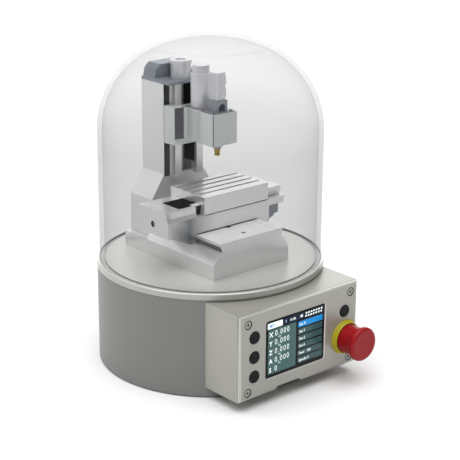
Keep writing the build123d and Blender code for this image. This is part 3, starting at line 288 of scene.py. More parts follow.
moulded("red_plastic", (0.30, 0.004, 0.008), 0.36, shine=0.25, dust=0.06)
moulded("yellow_plastic", (0.42, 0.35, 0.012), 0.42, shine=0.25, dust=0.06)
moulded("black_plastic", (0.015, 0.015, 0.016), 0.4, shine=0.3)
moulded("black_button", (0.005, 0.005, 0.006), 0.28, shine=0.15)
# black for the screw guard; also painted shade in the pocket, the gaps, the end plate's hole and the
# countersinks
moulded("black_guard", (0.004, 0.004, 0.005), 0.5, shine=0.12)
moulded("floor_rubber", (0.03, 0.03, 0.03), 0.75, texture=700.0, depth=0.0001)
# painted light: the pale seal stands in for the light line where the dome meets the rim
moulded("seal_rubber", (0.78, 0.78, 0.77), 0.5)
moulded("belt_rubber", (0.02, 0.02, 0.02), 0.6)
print("moulded finishes:", len(finishes), "so far")

# %% [markdown]
# ## Circuit board, screen glass and lit screen
# A circuit board shows its copper tracks through green lacquer, so straight noise bands are darker and
# lighter green. The screen is a gloss black sheet. What it shows is made of thin shapes that glow a little,
# each with a fine grid of picture cells.


# %% Board, glass and screen colours
def board(name):
    finish = Finish(name)
    tracks = finish.node("ShaderNodeTexBrick", {}, {"Vector": finish.place(), "Scale": 260.0}, out="Fac")
    green = finish.blend(tracks, (0.02, 0.12, 0.05, 1), (0.05, 0.24, 0.1, 1))
    speck = finish.noise(500.0, detail=2.0)
    inputs = {
        "Base Color": finish.blend(speck * 0.3, green, (0.3, 0.33, 0.3, 1)),
        "Roughness": 0.3 + speck * 0.2,
    }
    finishes[name] = finish.done(finish.node("ShaderNodeBsdfPrincipled", {}, inputs))


def gloss(name, colour):
    finish = Finish(name)
    smear = finish.noise(60.0, detail=3.0)
    inputs = {
        "Base Color": finish.blend(smear, shade(colour, 0.8), shade(colour, 1.2)),
        "Roughness": 0.05 + smear * 0.05,
        "Specular IOR Level": 0.1,
    }
    finishes[name] = finish.done(finish.node("ShaderNodeBsdfPrincipled", {}, inputs))


def lit(name, colour, glow, drift=0.12):
    finish = Finish(name)
    fall = finish.noise(30.0, stretch=(1, 1, 1.5), detail=1.0)
    cells = finish.noise(2400.0, detail=0.0)
    tone = finish.blend(fall, shade(colour, 1 - drift), shade(colour, 1 + drift))
    tone = finish.blend(cells * 0.25, tone, shade(colour, 0.7))
    inputs = {
        "Base Color": tone,
        "Roughness": 0.1 + cells * 0.06,
        "Specular IOR Level": 0.25,
        "Emission Color": tone,
        "Emission Strength": glow,
    }
    finishes[name] = finish.done(finish.node("ShaderNodeBsdfPrincipled", {}, inputs))


board("circuit_board")
gloss("screen_glass", (0.008, 0.009, 0.012))
lit("screen_teal", (0.045, 0.105, 0.1), 0.4)
lit("screen_teal_light", (0.032, 0.075, 0.078), 0.4)
lit("screen_blue", (0.004, 0.2, 0.5), 0.55)
lit("screen_white", (0.72, 0.8, 0.8), 0.6)
lit("screen_navy", (0.01, 0.035, 0.12), 0.5)
print("screen finishes:", len(finishes), "so far")

# %% [markdown]
# ## Clear acrylic
# The dome is cast acrylic, five millimetres thick. Seen face on it hardly shows. Towards its outline the eye
# looks along the wall, so it gets greyer and it mirrors the room. A refracting glass shader would keep the
# lamps out of the dome, so the wall is a mix: a transparent shader with a faint grey tint, and a glossy
# surface whose share grows towards the outline.


# %% Acrylic finish
crown_reflection_radius = 0.056  # radius of the painted reflection, a faint ring where the crown meets the shoulder, in metres
crown_reflection_width = 0.0016
crown_from = 0.29  # the painted reflection ring shows above this height only
side_shade_below = 0.262  # painted shade: the grey skin grows on the sides below this height
side_shade_fade = 0.04


def acrylic(name, tint, sides, slope, slope_power, outline, outline_power, crown_reflection_share=0.0):
    """Clear acrylic: a grey tint, and a skin whose share grows towards the outline, down the sides as painted
    shade, and along a ring on the crown as a painted reflection.
    """
    finish = Finish(name)
    rim = finish.node("ShaderNodeLayerWeight", {}, {"Blend": 0.5}, out="Facing")
    haze = finish.noise(9.0, detail=2.0)
    here = finish.node("ShaderNodeTexCoord", out="Object")
    level = finish.node("ShaderNodeVectorMath", {"operation": "MULTIPLY"}, {0: here, 1: (1, 1, 0)})
    radius = finish.node("ShaderNodeVectorMath", {"operation": "LENGTH"}, {0: level}, out="Value")
    height = finish.node("ShaderNodeSeparateXYZ", {}, {"Vector": here}, out="Z")
    crown = height.above(crown_from)
    offset = (radius - crown_reflection_radius).absolute()
    line = (1 - offset * (1 / crown_reflection_width)).at_least(0.0)
    side = ((side_shade_below - height) * (1 / side_shade_fade)).at_least(0.0).at_most(1.0)
    through = finish.node("ShaderNodeBsdfTransparent", {}, {"Color": (tint, tint, tint, 1)})
    skin = {
        "Base Color": finish.blend(haze, (0.10, 0.102, 0.104, 1), (0.14, 0.142, 0.145, 1)),
        "Roughness": 0.03 + haze * 0.03,
        "Specular IOR Level": 0.2,
    }
    wall = finish.node("ShaderNodeBsdfPrincipled", {}, skin)
    share = 0.015 + side * sides + rim ** slope_power * (0.66 + side * 0.34) * slope
    share = share + rim ** outline_power * outline + line * crown * crown_reflection_share
    finishes[name] = finish.done(finish.node("ShaderNodeMixShader", {}, {0: share, 1: through, 2: wall}))


acrylic(
    "dome_acrylic", tint=0.87, sides=0.10, slope=0.30, slope_power=3, outline=0.5, outline_power=24,
    crown_reflection_share=0.07,
)
acrylic("dome_inside", tint=0.95, sides=0.01, slope=0.06, slope_power=3, outline=0.5, outline_power=12)
print("clear finishes: dome_acrylic and dome_inside")

# %% [markdown]
# ## Working in edit mode
# Blender's operators act on whatever is selected, and the imported frame arrives selected. So each step
# starts by deselecting everything, then takes one piece, and picks its edges or points by a test on their
# place.


# %% Take and pick
def start():
    if bpy.context.object and bpy.context.object.mode != "OBJECT":
        bpy.ops.object.mode_set(mode="OBJECT")
    bpy.ops.object.select_all(action="DESELECT")


def take(piece):
    start()
    piece.select_set(True)
    bpy.context.view_layer.objects.active = piece
    return piece


def pick_edges(piece, test):
    """Edit mode, with only the edges selected whose two ends pass the test."""
    take(piece)
    bpy.ops.object.mode_set(mode="EDIT")
    bpy.ops.mesh.select_mode(type="EDGE")
    bpy.ops.mesh.select_all(action="DESELECT")
    bpy.ops.object.mode_set(mode="OBJECT")
    for edge in piece.data.edges:
        edge.select = test(*(piece.data.vertices[i].co for i in edge.vertices))
    bpy.ops.object.mode_set(mode="EDIT")


def bevel_edges(piece, test, width, segments):
    """Breaks the edges that pass the test, by a width in millimetres."""
    pick_edges(piece, test)
    bpy.ops.mesh.bevel(offset=width * mm, segments=segments, affect="EDGES")
    bpy.ops.object.mode_set(mode="OBJECT")


def front_to_back(a, b):
    """True for an edge that runs along Y."""
    return abs(a.x - b.x) < 1e-6 and abs(a.z - b.z) < 1e-6


def soften(piece, width, segments=2):
    """Rounds the sharp edges by a width in millimetres, with a bevel modifier, and applies it."""
    take(piece)
    edge = piece.modifiers.new("soft_edge", "BEVEL")
    edge.width = width * mm
    edge.segments = segments
    edge.limit_method = "ANGLE"
    edge.angle_limit = math.radians(35)
    bpy.ops.object.modifier_apply(modifier=edge.name)


def settle(piece):
    """Puts the object at the origin, with its place in its mesh."""
    take(piece)
    bpy.ops.object.transform_apply(location=True, rotation=True, scale=True)


def ready(piece, finish, body, slot, *stands_for, smooth=32, flat=None):
    """The last step of every piece: shading, finish, body and the CAD nodes it stands for. The slot is not
    used.

    Faces larger than flat, in square millimetres, are shaded flat, so that no light bleeds over them.
    """
    take(piece)
    bpy.ops.object.shade_smooth_by_angle(angle=math.radians(smooth))
    if flat:
        for face in piece.data.polygons:
            if face.area / mm ** 2 > flat:
                face.use_smooth = False
    piece.data.materials.clear()
    piece.data.materials.append(finishes[finish])
    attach(piece, body)
    if stands_for:
        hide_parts(*stands_for)
    print(f"{piece.name}: {len(piece.data.polygons)} faces, rides on {body}")


def repaint(piece, finish, test):
    """A second finish on the faces whose centre, in millimetres, and normal pass the test."""
    piece.data.materials.append(finishes[finish])
    last = len(piece.data.materials) - 1
    count = 0
    for face in piece.data.polygons:
        if test(face.center / mm, face.normal):
            face.material_index = last
            count += 1
    print(f"{piece.name}: {count} faces in {finish}")


# %% [markdown]
# ## Turned pieces
# Anything round is made as on a lathe. The outline is drawn point by point, by extruding one vertex, and
# then spun round its axis. The seam closes when doubled points are merged.


# %% Turned pieces
def turned(name, outline, centre, axis=(0, 0, 1), steps=96):
    """Spins (radius, distance along the axis) points, in millimetres, round the axis through centre."""
    along = Vector(axis)
    out = Vector((1, 0, 0))
    places = [(Vector(centre) + out * radius + along * far) * mm for radius, far in outline]
    start()
    bpy.ops.mesh.primitive_plane_add(size=mm, location=places[0])
    piece = bpy.context.object
    piece.name = name
    bpy.ops.object.mode_set(mode="EDIT")
    bpy.ops.mesh.select_mode(type="VERT")
    bpy.ops.mesh.select_all(action="SELECT")
    bpy.ops.mesh.merge(type="CENTER")
    for here, there in zip(places, places[1:]):
        bpy.ops.mesh.extrude_vertices_move(TRANSFORM_OT_translate={"value": there - here})
    bpy.ops.mesh.select_all(action="SELECT")
    bpy.ops.mesh.spin(steps=steps, angle=2 * math.pi, center=Vector(centre) * mm, axis=along)
    bpy.ops.mesh.select_all(action="SELECT")
    bpy.ops.mesh.remove_doubles(threshold=0.000002)
    bpy.ops.mesh.normals_make_consistent(inside=False)
    settle(piece)
    return piece


def arc(centre_radius, centre_far, radius, first, last, count):
    """Points of a circle for an outline, from one angle to another, in degrees."""
    turns = [math.radians(first + (last - first) * i / count) for i in range(count + 1)]
    return [(centre_radius + radius * math.cos(t), centre_far + radius * math.sin(t)) for t in turns]


# %% Blocks, cutters and copies
def block(name, low, high):
    """A cube between two corners, in millimetres."""
    low, high = Vector(low) * mm, Vector(high) * mm
    start()
    bpy.ops.mesh.primitive_cube_add(size=1, location=(low + high) / 2, scale=high - low)
    piece = bpy.context.object
    piece.name = name
    settle(piece)
    return piece


def rod(name, radius, first, last, sides=32):
    """A cylinder from one point to another along X, Y or Z, in millimetres."""
    first, last = Vector(first), Vector(last)
    turn = (last - first).to_track_quat("Z", "Y").to_euler()
    start()
    bpy.ops.mesh.primitive_cylinder_add(
        vertices=sides, radius=radius * mm, depth=(last - first).length * mm,
        location=(first + last) / 2 * mm, rotation=turn,
    )
    piece = bpy.context.object
    piece.name = name
    settle(piece)
    return piece


def cut(piece, cutter):
    """Takes the cutter's shape out of the piece, and removes the cutter."""
    take(piece)
    tool = piece.modifiers.new("cut", "BOOLEAN")
    tool.operation = "DIFFERENCE"
    tool.solver = "EXACT"
    tool.object = cutter
    bpy.ops.object.modifier_apply(modifier=tool.name)
    bpy.data.objects.remove(cutter)


def together(name, pieces):
    """Joins pieces into one object."""
    start()
    for piece in pieces:
        piece.select_set(True)
    bpy.context.view_layer.objects.active = pieces[0]
    bpy.ops.object.join()
    pieces[0].name = name
    return pieces[0]


def copied(piece, name, shift=(0, 0, 0), turn=0.0):
    """A copy with its own mesh, turned about the Z axis and then moved, in millimetres and degrees."""
    other = piece.copy()
    other.data = piece.data.copy()
    other.name = name
    bpy.context.collection.objects.link(other)
    bpy.context.view_layer.update()
    spin = Matrix.Rotation(math.radians(turn), 4, "Z")
    other.data.transform(Matrix.Translation(Vector(shift) * mm) @ spin)
    return other


# %% [markdown]
# ## Dressing the CAD pieces
# Many CAD pieces already have the right shape, but their edges are perfectly sharp, and no real edge is:
# each machined edge is broken by a file and catches a line of light. A copy of the CAD mesh is merged, its
# flat faces are made whole again, and its sharp edges get a small bevel.


# %% Dress a CAD piece
def dressed(node, name, finish, slot, width=0.3, shape=None, flat=25):
    """A finer copy of a CAD piece. Its bevel is in millimetres, and shape changes the mesh first."""
    source = nodes[node]
    piece = bpy.data.objects.new(name, source.data.copy())
    bpy.context.collection.objects.link(piece)
    take(piece)
    bpy.ops.object.mode_set(mode="EDIT")
    bpy.ops.mesh.select_all(action="SELECT")
    bpy.ops.mesh.remove_doubles(threshold=0.000001)
    bpy.ops.mesh.dissolve_limited(angle_limit=math.radians(0.6))
    bpy.ops.object.mode_set(mode="OBJECT")
    if shape:
        shape(piece)
    if width:
        soften(piece, width)
    ready(piece, finish, source["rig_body"], slot, node, flat=flat)
    return piece


# %% [markdown]
# ## Control box and rear socket
# The box on the front has a recess for the screen, whose edge gets a chamfer. The middles of the rounded
# edges round its front are painted paler, as a painted highlight, except along the bottom.

# %% Control box and rear socket
panel_front = -132.0


def break_recess(piece):
    """A chamfer round the screen's recess."""

    def by_screen(a, b):
        on_front = all(abs(p.y / mm - panel_front) < 0.02 for p in (a, b))
        return on_front and all(-44.5 < p.x / mm < 33.2 and 25.2 < p.z / mm < 84.6 for p in (a, b))

    bevel_edges(piece, by_screen, 0.9, 2)


def on_panel_edge(at, way):
    """The middle of the rounded edges round the front, but not along the bottom."""
    rounded = at.y < -128 and -0.93 < way.y < -0.45
    by_side = abs(at.x) > 40 and (way.z > 0.2 or abs(way.x) > 0.4)
    return rounded and (by_side or way.z > 0.35)


panel_box = dressed("control_box", "panel_box", "box_silver", "box_silver", 0.0, shape=break_recess, flat=400)
# Painted highlight on the rounded edges round the front.
repaint(panel_box, "painted_highlight", on_panel_edge)
dressed("rear_panel", "socket_plate", "box_silver", "box_silver", 0.2)
dressed("power_inlet", "power_socket_body", "black_plastic", "black_plastic", 0.2)

# %% [markdown]
# ## Base, saddle and table
# The tops of the base's ways are painted pale, as painted light, and the necks under them dark, as painted
# shade.
# The pocket under the table is painted black, as painted shade, and so are the thin strips in the gaps under
# the table's front and the saddle's front. The slots end at a wall on the left.


# %% Base
def in_way_neck(at, way):
    return 130.9 < at.z < 136.6 and 36.5 < abs(at.x) < 40.95 and abs(way.x) > 0.4


def on_way_top(at, way):
    return way.z > 0.9 and at.z > 137


mill_base = dressed("machine_base", "mill_base", "machined_cross", "machined_aluminium", 0.35)
# Painted shade: the necks under the way lips are painted dark.
repaint(mill_base, "head_painted_shade", in_way_neck)
# Painted light: the tops of the ways are painted pale.
repaint(mill_base, "way_top_painted_light", on_way_top)


# %% Saddle
def split_deck(piece):
    """A cut line across the deck under the table, so that its two ends can have their own finish."""
    take(piece)
    bpy.ops.object.mode_set(mode="EDIT")
    bpy.ops.mesh.select_all(action="SELECT")
    bpy.ops.mesh.bisect(plane_co=(45 * mm, 0, 0), plane_no=(1, 0, 0))
    bpy.ops.object.mode_set(mode="OBJECT")


def in_pocket(at, way):
    """The faces of the pocket under the table, but not the front of the way to its right."""
    return -55.5 < at.x < 38 and -22 < at.y < 17 and 140.5 < at.z < 165.8


def on_saddle_front(at, way):
    return at.y < -26.0 and way.y < -0.9 and at.z < 157 and -72 < at.x < 50


def in_screw_hole(at, way):
    """The wall of the small hole in the left end plate."""
    return math.hypot(at.y + 3.2, at.z - 151.9) < 3.4 and abs(way.x) < 0.5


saddle = dressed("saddle", "cross_saddle", "machined_aluminium", "machined_aluminium", 0.2, shape=split_deck)
# Painted shade: the pocket under the table is painted black.
repaint(saddle, "black_guard", in_pocket)
# Painted reflection: the lower front of the saddle darkens towards its left end.
repaint(saddle, "aluminium_painted_reflection", on_saddle_front)
end_plate = dressed("saddle_end_plate", "end_plate", "machined_column", "machined_aluminium", 0.25)
# Painted shade: the wall of the small hole is painted black.
repaint(end_plate, "black_guard", in_screw_hole)
dressed("tail_bracket", "stepped_bracket", "bracket_grey", "bracket_grey", 0.25)

# %% Table and painted shade in the gaps
dressed("table", "slotted_table", "machined_aluminium", "machined_aluminium", 0.2)
slot_half = 3.4
slot_ends = []
for y in (-15.5, -4.5, 6.5, 17.5):
    slot_ends.append(block("slot_end", (-30.28, y - slot_half, 166.5), (-29.0, y + slot_half, 174.7)))
# Painted shade: thin black strips in the gaps under the table's front and the saddle's front.
gap_shades = {
    "table_wiper": ((-30.1, -27.35, 156.8), (51.5, -26.45, 157.6), "work_table"),
    "saddle_wiper": ((-38.0, -26.9, 139.5), (38.0, -26.42, 140.3), "cross_slide"),
}
for name, (low, high, body) in gap_shades.items():
    gap_shade = block(name, low, high)
    soften(gap_shade, 0.1, 1)
    ready(gap_shade, "black_guard", body, "black_guard")
ready(together("slot_ends", slot_ends), "machined_aluminium", "work_table", "machined_aluminium", flat=10)

# %% [markdown]
# ## Column and lift motor
# Two dark sheets of painted shade run beside the upright rails, where the undercut of the dovetails is in
# shade.
# The hood beside the lift motor is lower than the motor.

# %% Column and lift motor
dressed("column", "mill_column", "machined_column", "machined_aluminium", 0.3)
# Painted shade: thin dark sheets on the column's front beside the rails.
rail_shade_width = 6.9
rail_shades = [block("strip", (x, 41.7, 179.3), (x + rail_shade_width, 41.88, 272.3)) for x in (-24.6, 17.7)]
ready(together("rail_shade_strips", rail_shades), "rail_painted_shade", "enclosure", "machined_aluminium", flat=25)
dressed("column_cover", "column_back_cover", "cover_grey", "cover_grey", 0.3)
dressed("z_rails", "upright_rails", "ground_rail", "ground_rail", 0.0, flat=None)
dressed("screw_guard", "black_screw_guard", "black_guard", "black_guard", 0.2)
hood_top_above = 284
hood_drop = 5


def lower_hood(piece):
    """Brings the top of the hood down."""
    take(piece)
    bpy.ops.object.mode_set(mode="EDIT")
    bpy.ops.mesh.select_mode(type="VERT")
    bpy.ops.mesh.select_all(action="DESELECT")
    bpy.ops.object.mode_set(mode="OBJECT")
    for point in piece.data.vertices:
        point.select = point.co.z / mm > hood_top_above
    bpy.ops.object.mode_set(mode="EDIT")
    bpy.ops.transform.translate(value=(0, 0, -hood_drop * mm))
    bpy.ops.object.mode_set(mode="OBJECT")


dressed("z_bracket", "lift_motor_hood", "bracket_grey", "bracket_grey", 0.3, shape=lower_hood)
dressed("z_motor", "lift_motor", "motor_grey", "motor_grey", 0.3, flat=60)

# %% [markdown]
# ## Head
# The slanting front faces of the head and the broken corners beside its nose are painted dark, as painted
# reflections of something dark. A thin dark strip runs down the corner beside its nose, and upright ribs
# stand round the release unit.


# %% Head
def on_slanting_front(at, way):
    return way.y < -0.45 and at.y > 20.3 and abs(at.x) > 15


head = dressed("head", "mill_head", "head_grey", "head_grey", 0.25, flat=120)
# Painted reflection: the slanting front faces are painted dark.
repaint(head, "head_painted_shade", on_slanting_front)


def nose_corner(at, way):
    """The broken corners beside the front of the nose."""
    return at.y < -21.2 and abs(at.x) > 14.4 and abs(way.x) > 0.2 and way.y < -0.2 and abs(way.z) < 0.3


# Painted reflection: the broken corners beside the nose are painted dark.
repaint(head, "head_painted_shade", nose_corner)
# A thin dark strip down the corner beside the nose.
nose_strip = block("nose_dark_strip", (-14.94, -21.63, 220.9), (-14.3, -21.0, 251.5))
ready(nose_strip, "head_painted_shade", "milling_head", "head_grey", flat=0.01)
dressed("head_cover", "head_lid", "cover_grey", "cover_grey", 0.2)

# %% Spindle motor, release unit and the saddle's motor
dressed("spindle_motor", "spindle_motor_can", "motor_grey", "motor_grey", 0.35, flat=60)
dressed("release_bracket", "arched_bracket", "bracket_grey", "bracket_grey", 0.25)
dressed("release_unit", "collet_release", "motor_grey", "motor_grey", 0.15)
unit_y = -10
unit_half = 5.4
rib_pitch = 2.0
rib_radius = 0.45
ribs = []
for place in range(5):
    across = -4.0 + place * rib_pitch
    left_and_right = [(-unit_half, unit_y + across), (unit_half, unit_y + across)]
    front_and_back = [(across, unit_y - unit_half), (across, unit_y + unit_half)]
    for x, y in left_and_right + front_and_back:
        ribs.append(rod("rib", rib_radius, (x, y, 264.6), (x, y, 288.6), sides=12))
ready(together("release_ribs", ribs), "motor_grey", "milling_head", "motor_grey", smooth=50)
dressed("y_motor", "cross_motor", "motor_grey", "motor_grey", 0.3)

# %% [markdown]
# ## Drum
# The drum is a turned tube with a small chamfer at each end. It opens behind the control box and at the
# rear socket plate, and nine upright vents with round ends are milled either side of that plate.

# %% Drum
drum_radius = 112.5
drum_bore = 109.5
drum_foot = 1.0
drum_top = 98.4
drum_chamfer = 0.3
tube = [
    (drum_bore, drum_foot),
    (drum_radius - drum_chamfer, drum_foot), (drum_radius, drum_foot + drum_chamfer),
    (drum_radius, drum_top - drum_chamfer), (drum_radius - drum_chamfer, drum_top),
    (drum_bore, drum_top), (drum_bore, drum_foot),
]
drum = turned("drum", tube, (0, 0, 0), steps=192)
cut(drum, block("front_opening", (-57, -120, 19), (57, -60, 86.5)))
cut(drum, block("rear_window", (-24, 70, 21), (24, 130, 57)))

# %% Vents
vent_half = 1.3
first_vent = 28
vent_pitch = math.degrees(7.0 / drum_radius)
vent = block("vent", (-vent_half, 95, 31.7), (vent_half, 125, 67.7))
bevel_edges(vent, front_to_back, 1.29, 6)
vents = []
for side in (-1, 1):
    for row in range(9):
        vents.append(copied(vent, "vent", turn=side * (first_vent + row * vent_pitch)))
bpy.data.objects.remove(vent)
cut(drum, together("vents", vents))
ready(drum, "drum_grey", "enclosure", "drum_grey", "drum_shell", smooth=20)

# %% [markdown]
# ## Rim plate
# The rim is a turned plate on top of the drum. Its top edge has a small chamfer, and the outer ring of its
# top with that chamfer is painted paler, as a painted highlight. A groove holds the rubber seal and the foot
# of the dome. The floor inside the dome is painted lighter, as painted light.

# %% Rim plate
rim_outline = [
    (0, drum_top), (112.6, drum_top), (113, 98.8), (113, 103.6),
    (112.8, 104.0), (112.2, 104.4), (110.6, 104.4),
    (110.06, 104.2), (110.06, 101.9), (104.94, 101.9), (104.94, 104.25), (104.8, 104.4), (0, 104.4),
]
rim = turned("rim_disc", rim_outline, (0, 0, 0), steps=192)
ready(rim, "rim_silver", "enclosure", "rim_silver", "rim_plate", smooth=20)
# Painted highlight: the outer ring of the top and its chamfer.
repaint(rim, "painted_highlight", lambda at, way: at.z > 104.05 and math.hypot(at.x, at.y) > 110.4)
# Painted light: the floor inside the dome is painted lighter.
repaint(rim, "rim_floor_painted_light", lambda at, way: at.z > 102 and math.hypot(at.x, at.y) < 104.6)

# %% [markdown]
# ## Dome
# A bell with a straight wall, a wide shoulder and a flatter crown, of one thickness all over. The outline
# goes up the outside and comes back down the inside, so one spin makes both skins and the foot between them.

# %% Dome
shoulder = 232.9  # height of the centre of the shoulder's arc
shoulder_out = 21  # how far that centre is from the axis
shoulder_radius = 89
crown_radius = 140
dome_wall = 5
crown_at = shoulder - math.sqrt((crown_radius - shoulder_radius) ** 2 - shoulder_out ** 2)
blend_turn = math.degrees(math.atan2(shoulder - crown_at, shoulder_out))
outer_skin = arc(shoulder_out, shoulder, shoulder_radius, 0, blend_turn, 20)
outer_skin += arc(0, crown_at, crown_radius, blend_turn, 90, 12)[1:]
inner_skin = arc(0, crown_at, crown_radius - dome_wall, 90, blend_turn, 12)
inner_skin += arc(shoulder_out, shoulder, shoulder_radius - dome_wall, blend_turn, 0, 20)[1:]
foot = [(105, 103.3), (105.3, 103.0), (109.7, 103.0), (110, 103.3)]
dome = turned("clear_dome", foot + outer_skin + inner_skin + foot[:1], (0, 0, 0), steps=160)
ready(dome, "dome_acrylic", "dome_cover", "dome_acrylic", "dome", smooth=40)


def on_inner_skin(at, way):
    """The faces that look towards a point inside the dome, 100 mm up."""
    return way.x * at.x + way.y * at.y + way.z * (at.z - 100) < 0


repaint(dome, "dome_inside", on_inner_skin)

# %% [markdown]
# ## Screen
# The screen is a black glass with rounded edges, sunk into the panel. What it shows is drawn with thin
# plates that stand a hair in front of the glass: a block with the axis letters and their values on the left,
# a column of bars on the right, and small marks along the top.

# %% Glass and bezel
glass = block("black_glass", (-43.5, -131.2, 26.2), (32.2, -130.0, 83.6))
soften(glass, 0.3, 2)
ready(glass, "screen_glass", "enclosure", "screen_glass", "screen_glass")
bezel_front = -132.04
bezel = block("screen_bezel", (-45.0, bezel_front, 24.7), (33.7, -131.2, 85.1))
opening = block("bezel_opening", (-43.3, -134, 26.4), (32.0, -130, 83.4))
bevel_edges(opening, front_to_back, 2.2, 6)
cut(bezel, opening)


def on_inner_lip(a, b):
    on_front = all(abs(p.y / mm - bezel_front) < 0.001 for p in (a, b))
    return on_front and all(-43.4 < p.x / mm < 32.1 and 26.3 < p.z / mm < 83.5 for p in (a, b))


def on_lit_lip(at, way):
    return way.y > -0.9 and (way.x < -0.3 or way.z > 0.3)


bevel_edges(bezel, on_inner_lip, 0.75, 1)
ready(bezel, "box_silver", "enclosure", "box_silver", flat=0.01)
# Painted highlight: the lip's faces on the right and along the bottom of the opening.
repaint(bezel, "painted_highlight", on_lit_lip)

# %% Plates with round corners
ink_y = -131.22
plate_depth = 0.03


def plate(name, left, right, bottom, top, corner=0.8):
    """A thin upright plate with round corners, in front of the glass."""
    piece = block(name, (left, ink_y - plate_depth, bottom), (right, ink_y, top))
    bevel_edges(piece, front_to_back, corner, 4)
    return piece


values_block = plate("values_block", -40.3, -5.0, 29.7, 74.0, 1.4)
ready(values_block, "screen_teal", "enclosure", "screen_glass")
mode_tab = plate("mode_tab", -41.1, -22.4, 75.2, 81.1, 0.9)
ready(mode_tab, "screen_white", "enclosure", "screen_glass")
bar_left, bar_right = -2.4, 29.1
bar_pitch, bar_height, bar_top = 7.3, 5.9, 73.1
bars = []
for row in range(6):
    top = bar_top - row * bar_pitch
    bars.append(plate(f"bar_{row}", bar_left, bar_right, top - bar_height, top, 0.7))
ready(bars[0], "screen_blue", "enclosure", "screen_glass")
ready(together("grey_bars", bars[1:]), "screen_teal_light", "enclosure", "screen_glass")


# %% Letters and numbers
def written(words, left, bottom, size, weight=0.0, spacing=1.0, squeeze=1.0):
    """Text turned upright to face -Y, made into a mesh, in front of the plates."""
    start()
    bpy.ops.object.text_add()
    piece = bpy.context.object
    text = piece.data
    text.body = words
    text.size = size * mm
    text.offset = weight * mm
    text.space_character = spacing
    text.resolution_u = 3
    text.extrude = 0.01 * mm
    take(piece)
    bpy.ops.object.convert(target="MESH")
    place = Matrix.Translation(Vector((left, ink_y - plate_depth - 0.015, bottom)) * mm)
    narrow = Matrix.Scale(squeeze, 4, (1, 0, 0))
    piece.data.transform(place @ Matrix.Rotation(math.pi / 2, 4, "X") @ narrow)
    return piece


white_marks = []
row_pitch, row_first = 8.86, 66.9
for row, letter in enumerate("XYZAS"):
    low = row_first - row * row_pitch
    white_marks.append(written(letter, -38.9, low, 6.4, weight=0.16))
    value = "0" if letter == "S" else "0.000"
    white_marks.append(written(value, -32.0, low + 0.2, 7.6, weight=0.0, spacing=1.3, squeeze=0.86))
    if letter != "S":
        white_marks.append(written("mm", -27.6, low - 2.2, 2.2, weight=0.04))
bar_words = ("Set X", "Set Y", "Set Z", "Set A", "Feed   100", "Spindle 0")
for row, words in enumerate(bar_words):
    low = bar_top - row * bar_pitch - bar_height + 1.6
    white_marks.append(written(words, -0.9, low, 3.6, weight=0.06))
letters = together("white_letters", white_marks)
ready(letters, "screen_white", "enclosure", "screen_glass")
tab_word = written("MDI 1", -39.0, 76.6, 4.0, weight=0.05)
tab_word.name = "tab_word"
ready(tab_word, "screen_blue", "enclosure", "screen_glass")

# %% Small marks along the top
pill_line = 0.5
pills = []
for left, right in ((-20.6, -16.2), (-14.6, -2.6), (-1.4, 4.6)):
    outer = plate("pill", left, right, 75.6, 80.8, 1.4)
    inner = block("pill_inside", (left + pill_line, -133, 76.1), (right - pill_line, -130, 80.3))
    bevel_edges(inner, front_to_back, 1.0, 4)
    cut(outer, inner)
    pills.append(outer)
ready(together("navy_pills", pills), "screen_navy", "enclosure", "screen_glass")
icons = [written("1", -19.0, 76.9, 3.4, 0.08), written("0.100", -12.9, 76.9, 3.2, 0.08)]
icons += [plate("icon", 0.2, 3.2, 77.0, 79.4, 0.5)]
icon_pitch, icon_width, icon_height = 3.3, 2.1, 1.7
for row, low in enumerate((75.9, 78.8)):
    for place in range(7):
        left = 6.4 + place * icon_pitch + row * 0.4
        icons.append(plate("icon", left, left + icon_width, low, low + icon_height, 0.4))
ready(together("white_icons", icons), "screen_white", "enclosure", "screen_glass")

# %% [markdown]
# ## Push buttons
# Each button is turned from black plastic. Its face has fine rings from the lathe, and it stands a little
# proud of the panel.

# %% Push buttons
button_places = {
    "left_top": (-57.8, 72.5), "left_middle": (-57.8, 52.9),
    "left_bottom": (-57.8, 33.6), "right": (58.0, 68.7),
}
button_rings = [(0, 133.0)]
for ring in range(4):
    inside = 1.0 + ring * 1.15
    button_rings += [(inside, 133.0), (inside + 0.12, 132.86)]
    button_rings += [(inside + 0.45, 132.86), (inside + 0.57, 133.0)]
button_edge = [(5.3, 133.05), (5.7, 132.95), (5.95, 132.6), (6, 132.2), (6, 129.2), (0, 129.2)]
first_x, first_z = button_places["left_top"]
first_middle = (first_x, 0, first_z)
button = turned("press_left_top", button_rings + button_edge, first_middle, axis=(0, -1, 0), steps=64)
buttons = {"left_top": button}
for name, (x, z) in button_places.items():
    if name != "left_top":
        buttons[name] = copied(button, f"press_{name}", (x - first_x, 0, z - first_z))
for name, piece in buttons.items():
    ready(piece, "black_button", f"{name}_button", "black_button", f"button_{name}")

# %% [markdown]
# ## Panel screws
# Four countersunk screws hold the panel. The head is turned, and a six-sided punch makes its socket. A thin
# black ring round each head is painted shade in the gap of the countersink.

# %% Panel screws
screw_places = [(-65.5, 86.7), (65.5, 86.7), (-65.5, 19.1), (65.5, 19.1)]
head_outline = [(0, 131.75), (3.75, 131.75), (4.0, 131.6), (2.1, 129.7), (2.1, 120.0), (0, 120.0)]
x, z = screw_places[0]
screw = turned("panel_screw", head_outline, (x, 0, z), axis=(0, -1, 0), steps=48)
cut(screw, rod("punch", 1.5, (x, -133, z), (x, -130, z), sides=6))
panel_screws = [screw] + [copied(screw, "panel_screw", (a - x, 0, b - z)) for a, b in screw_places[1:]]
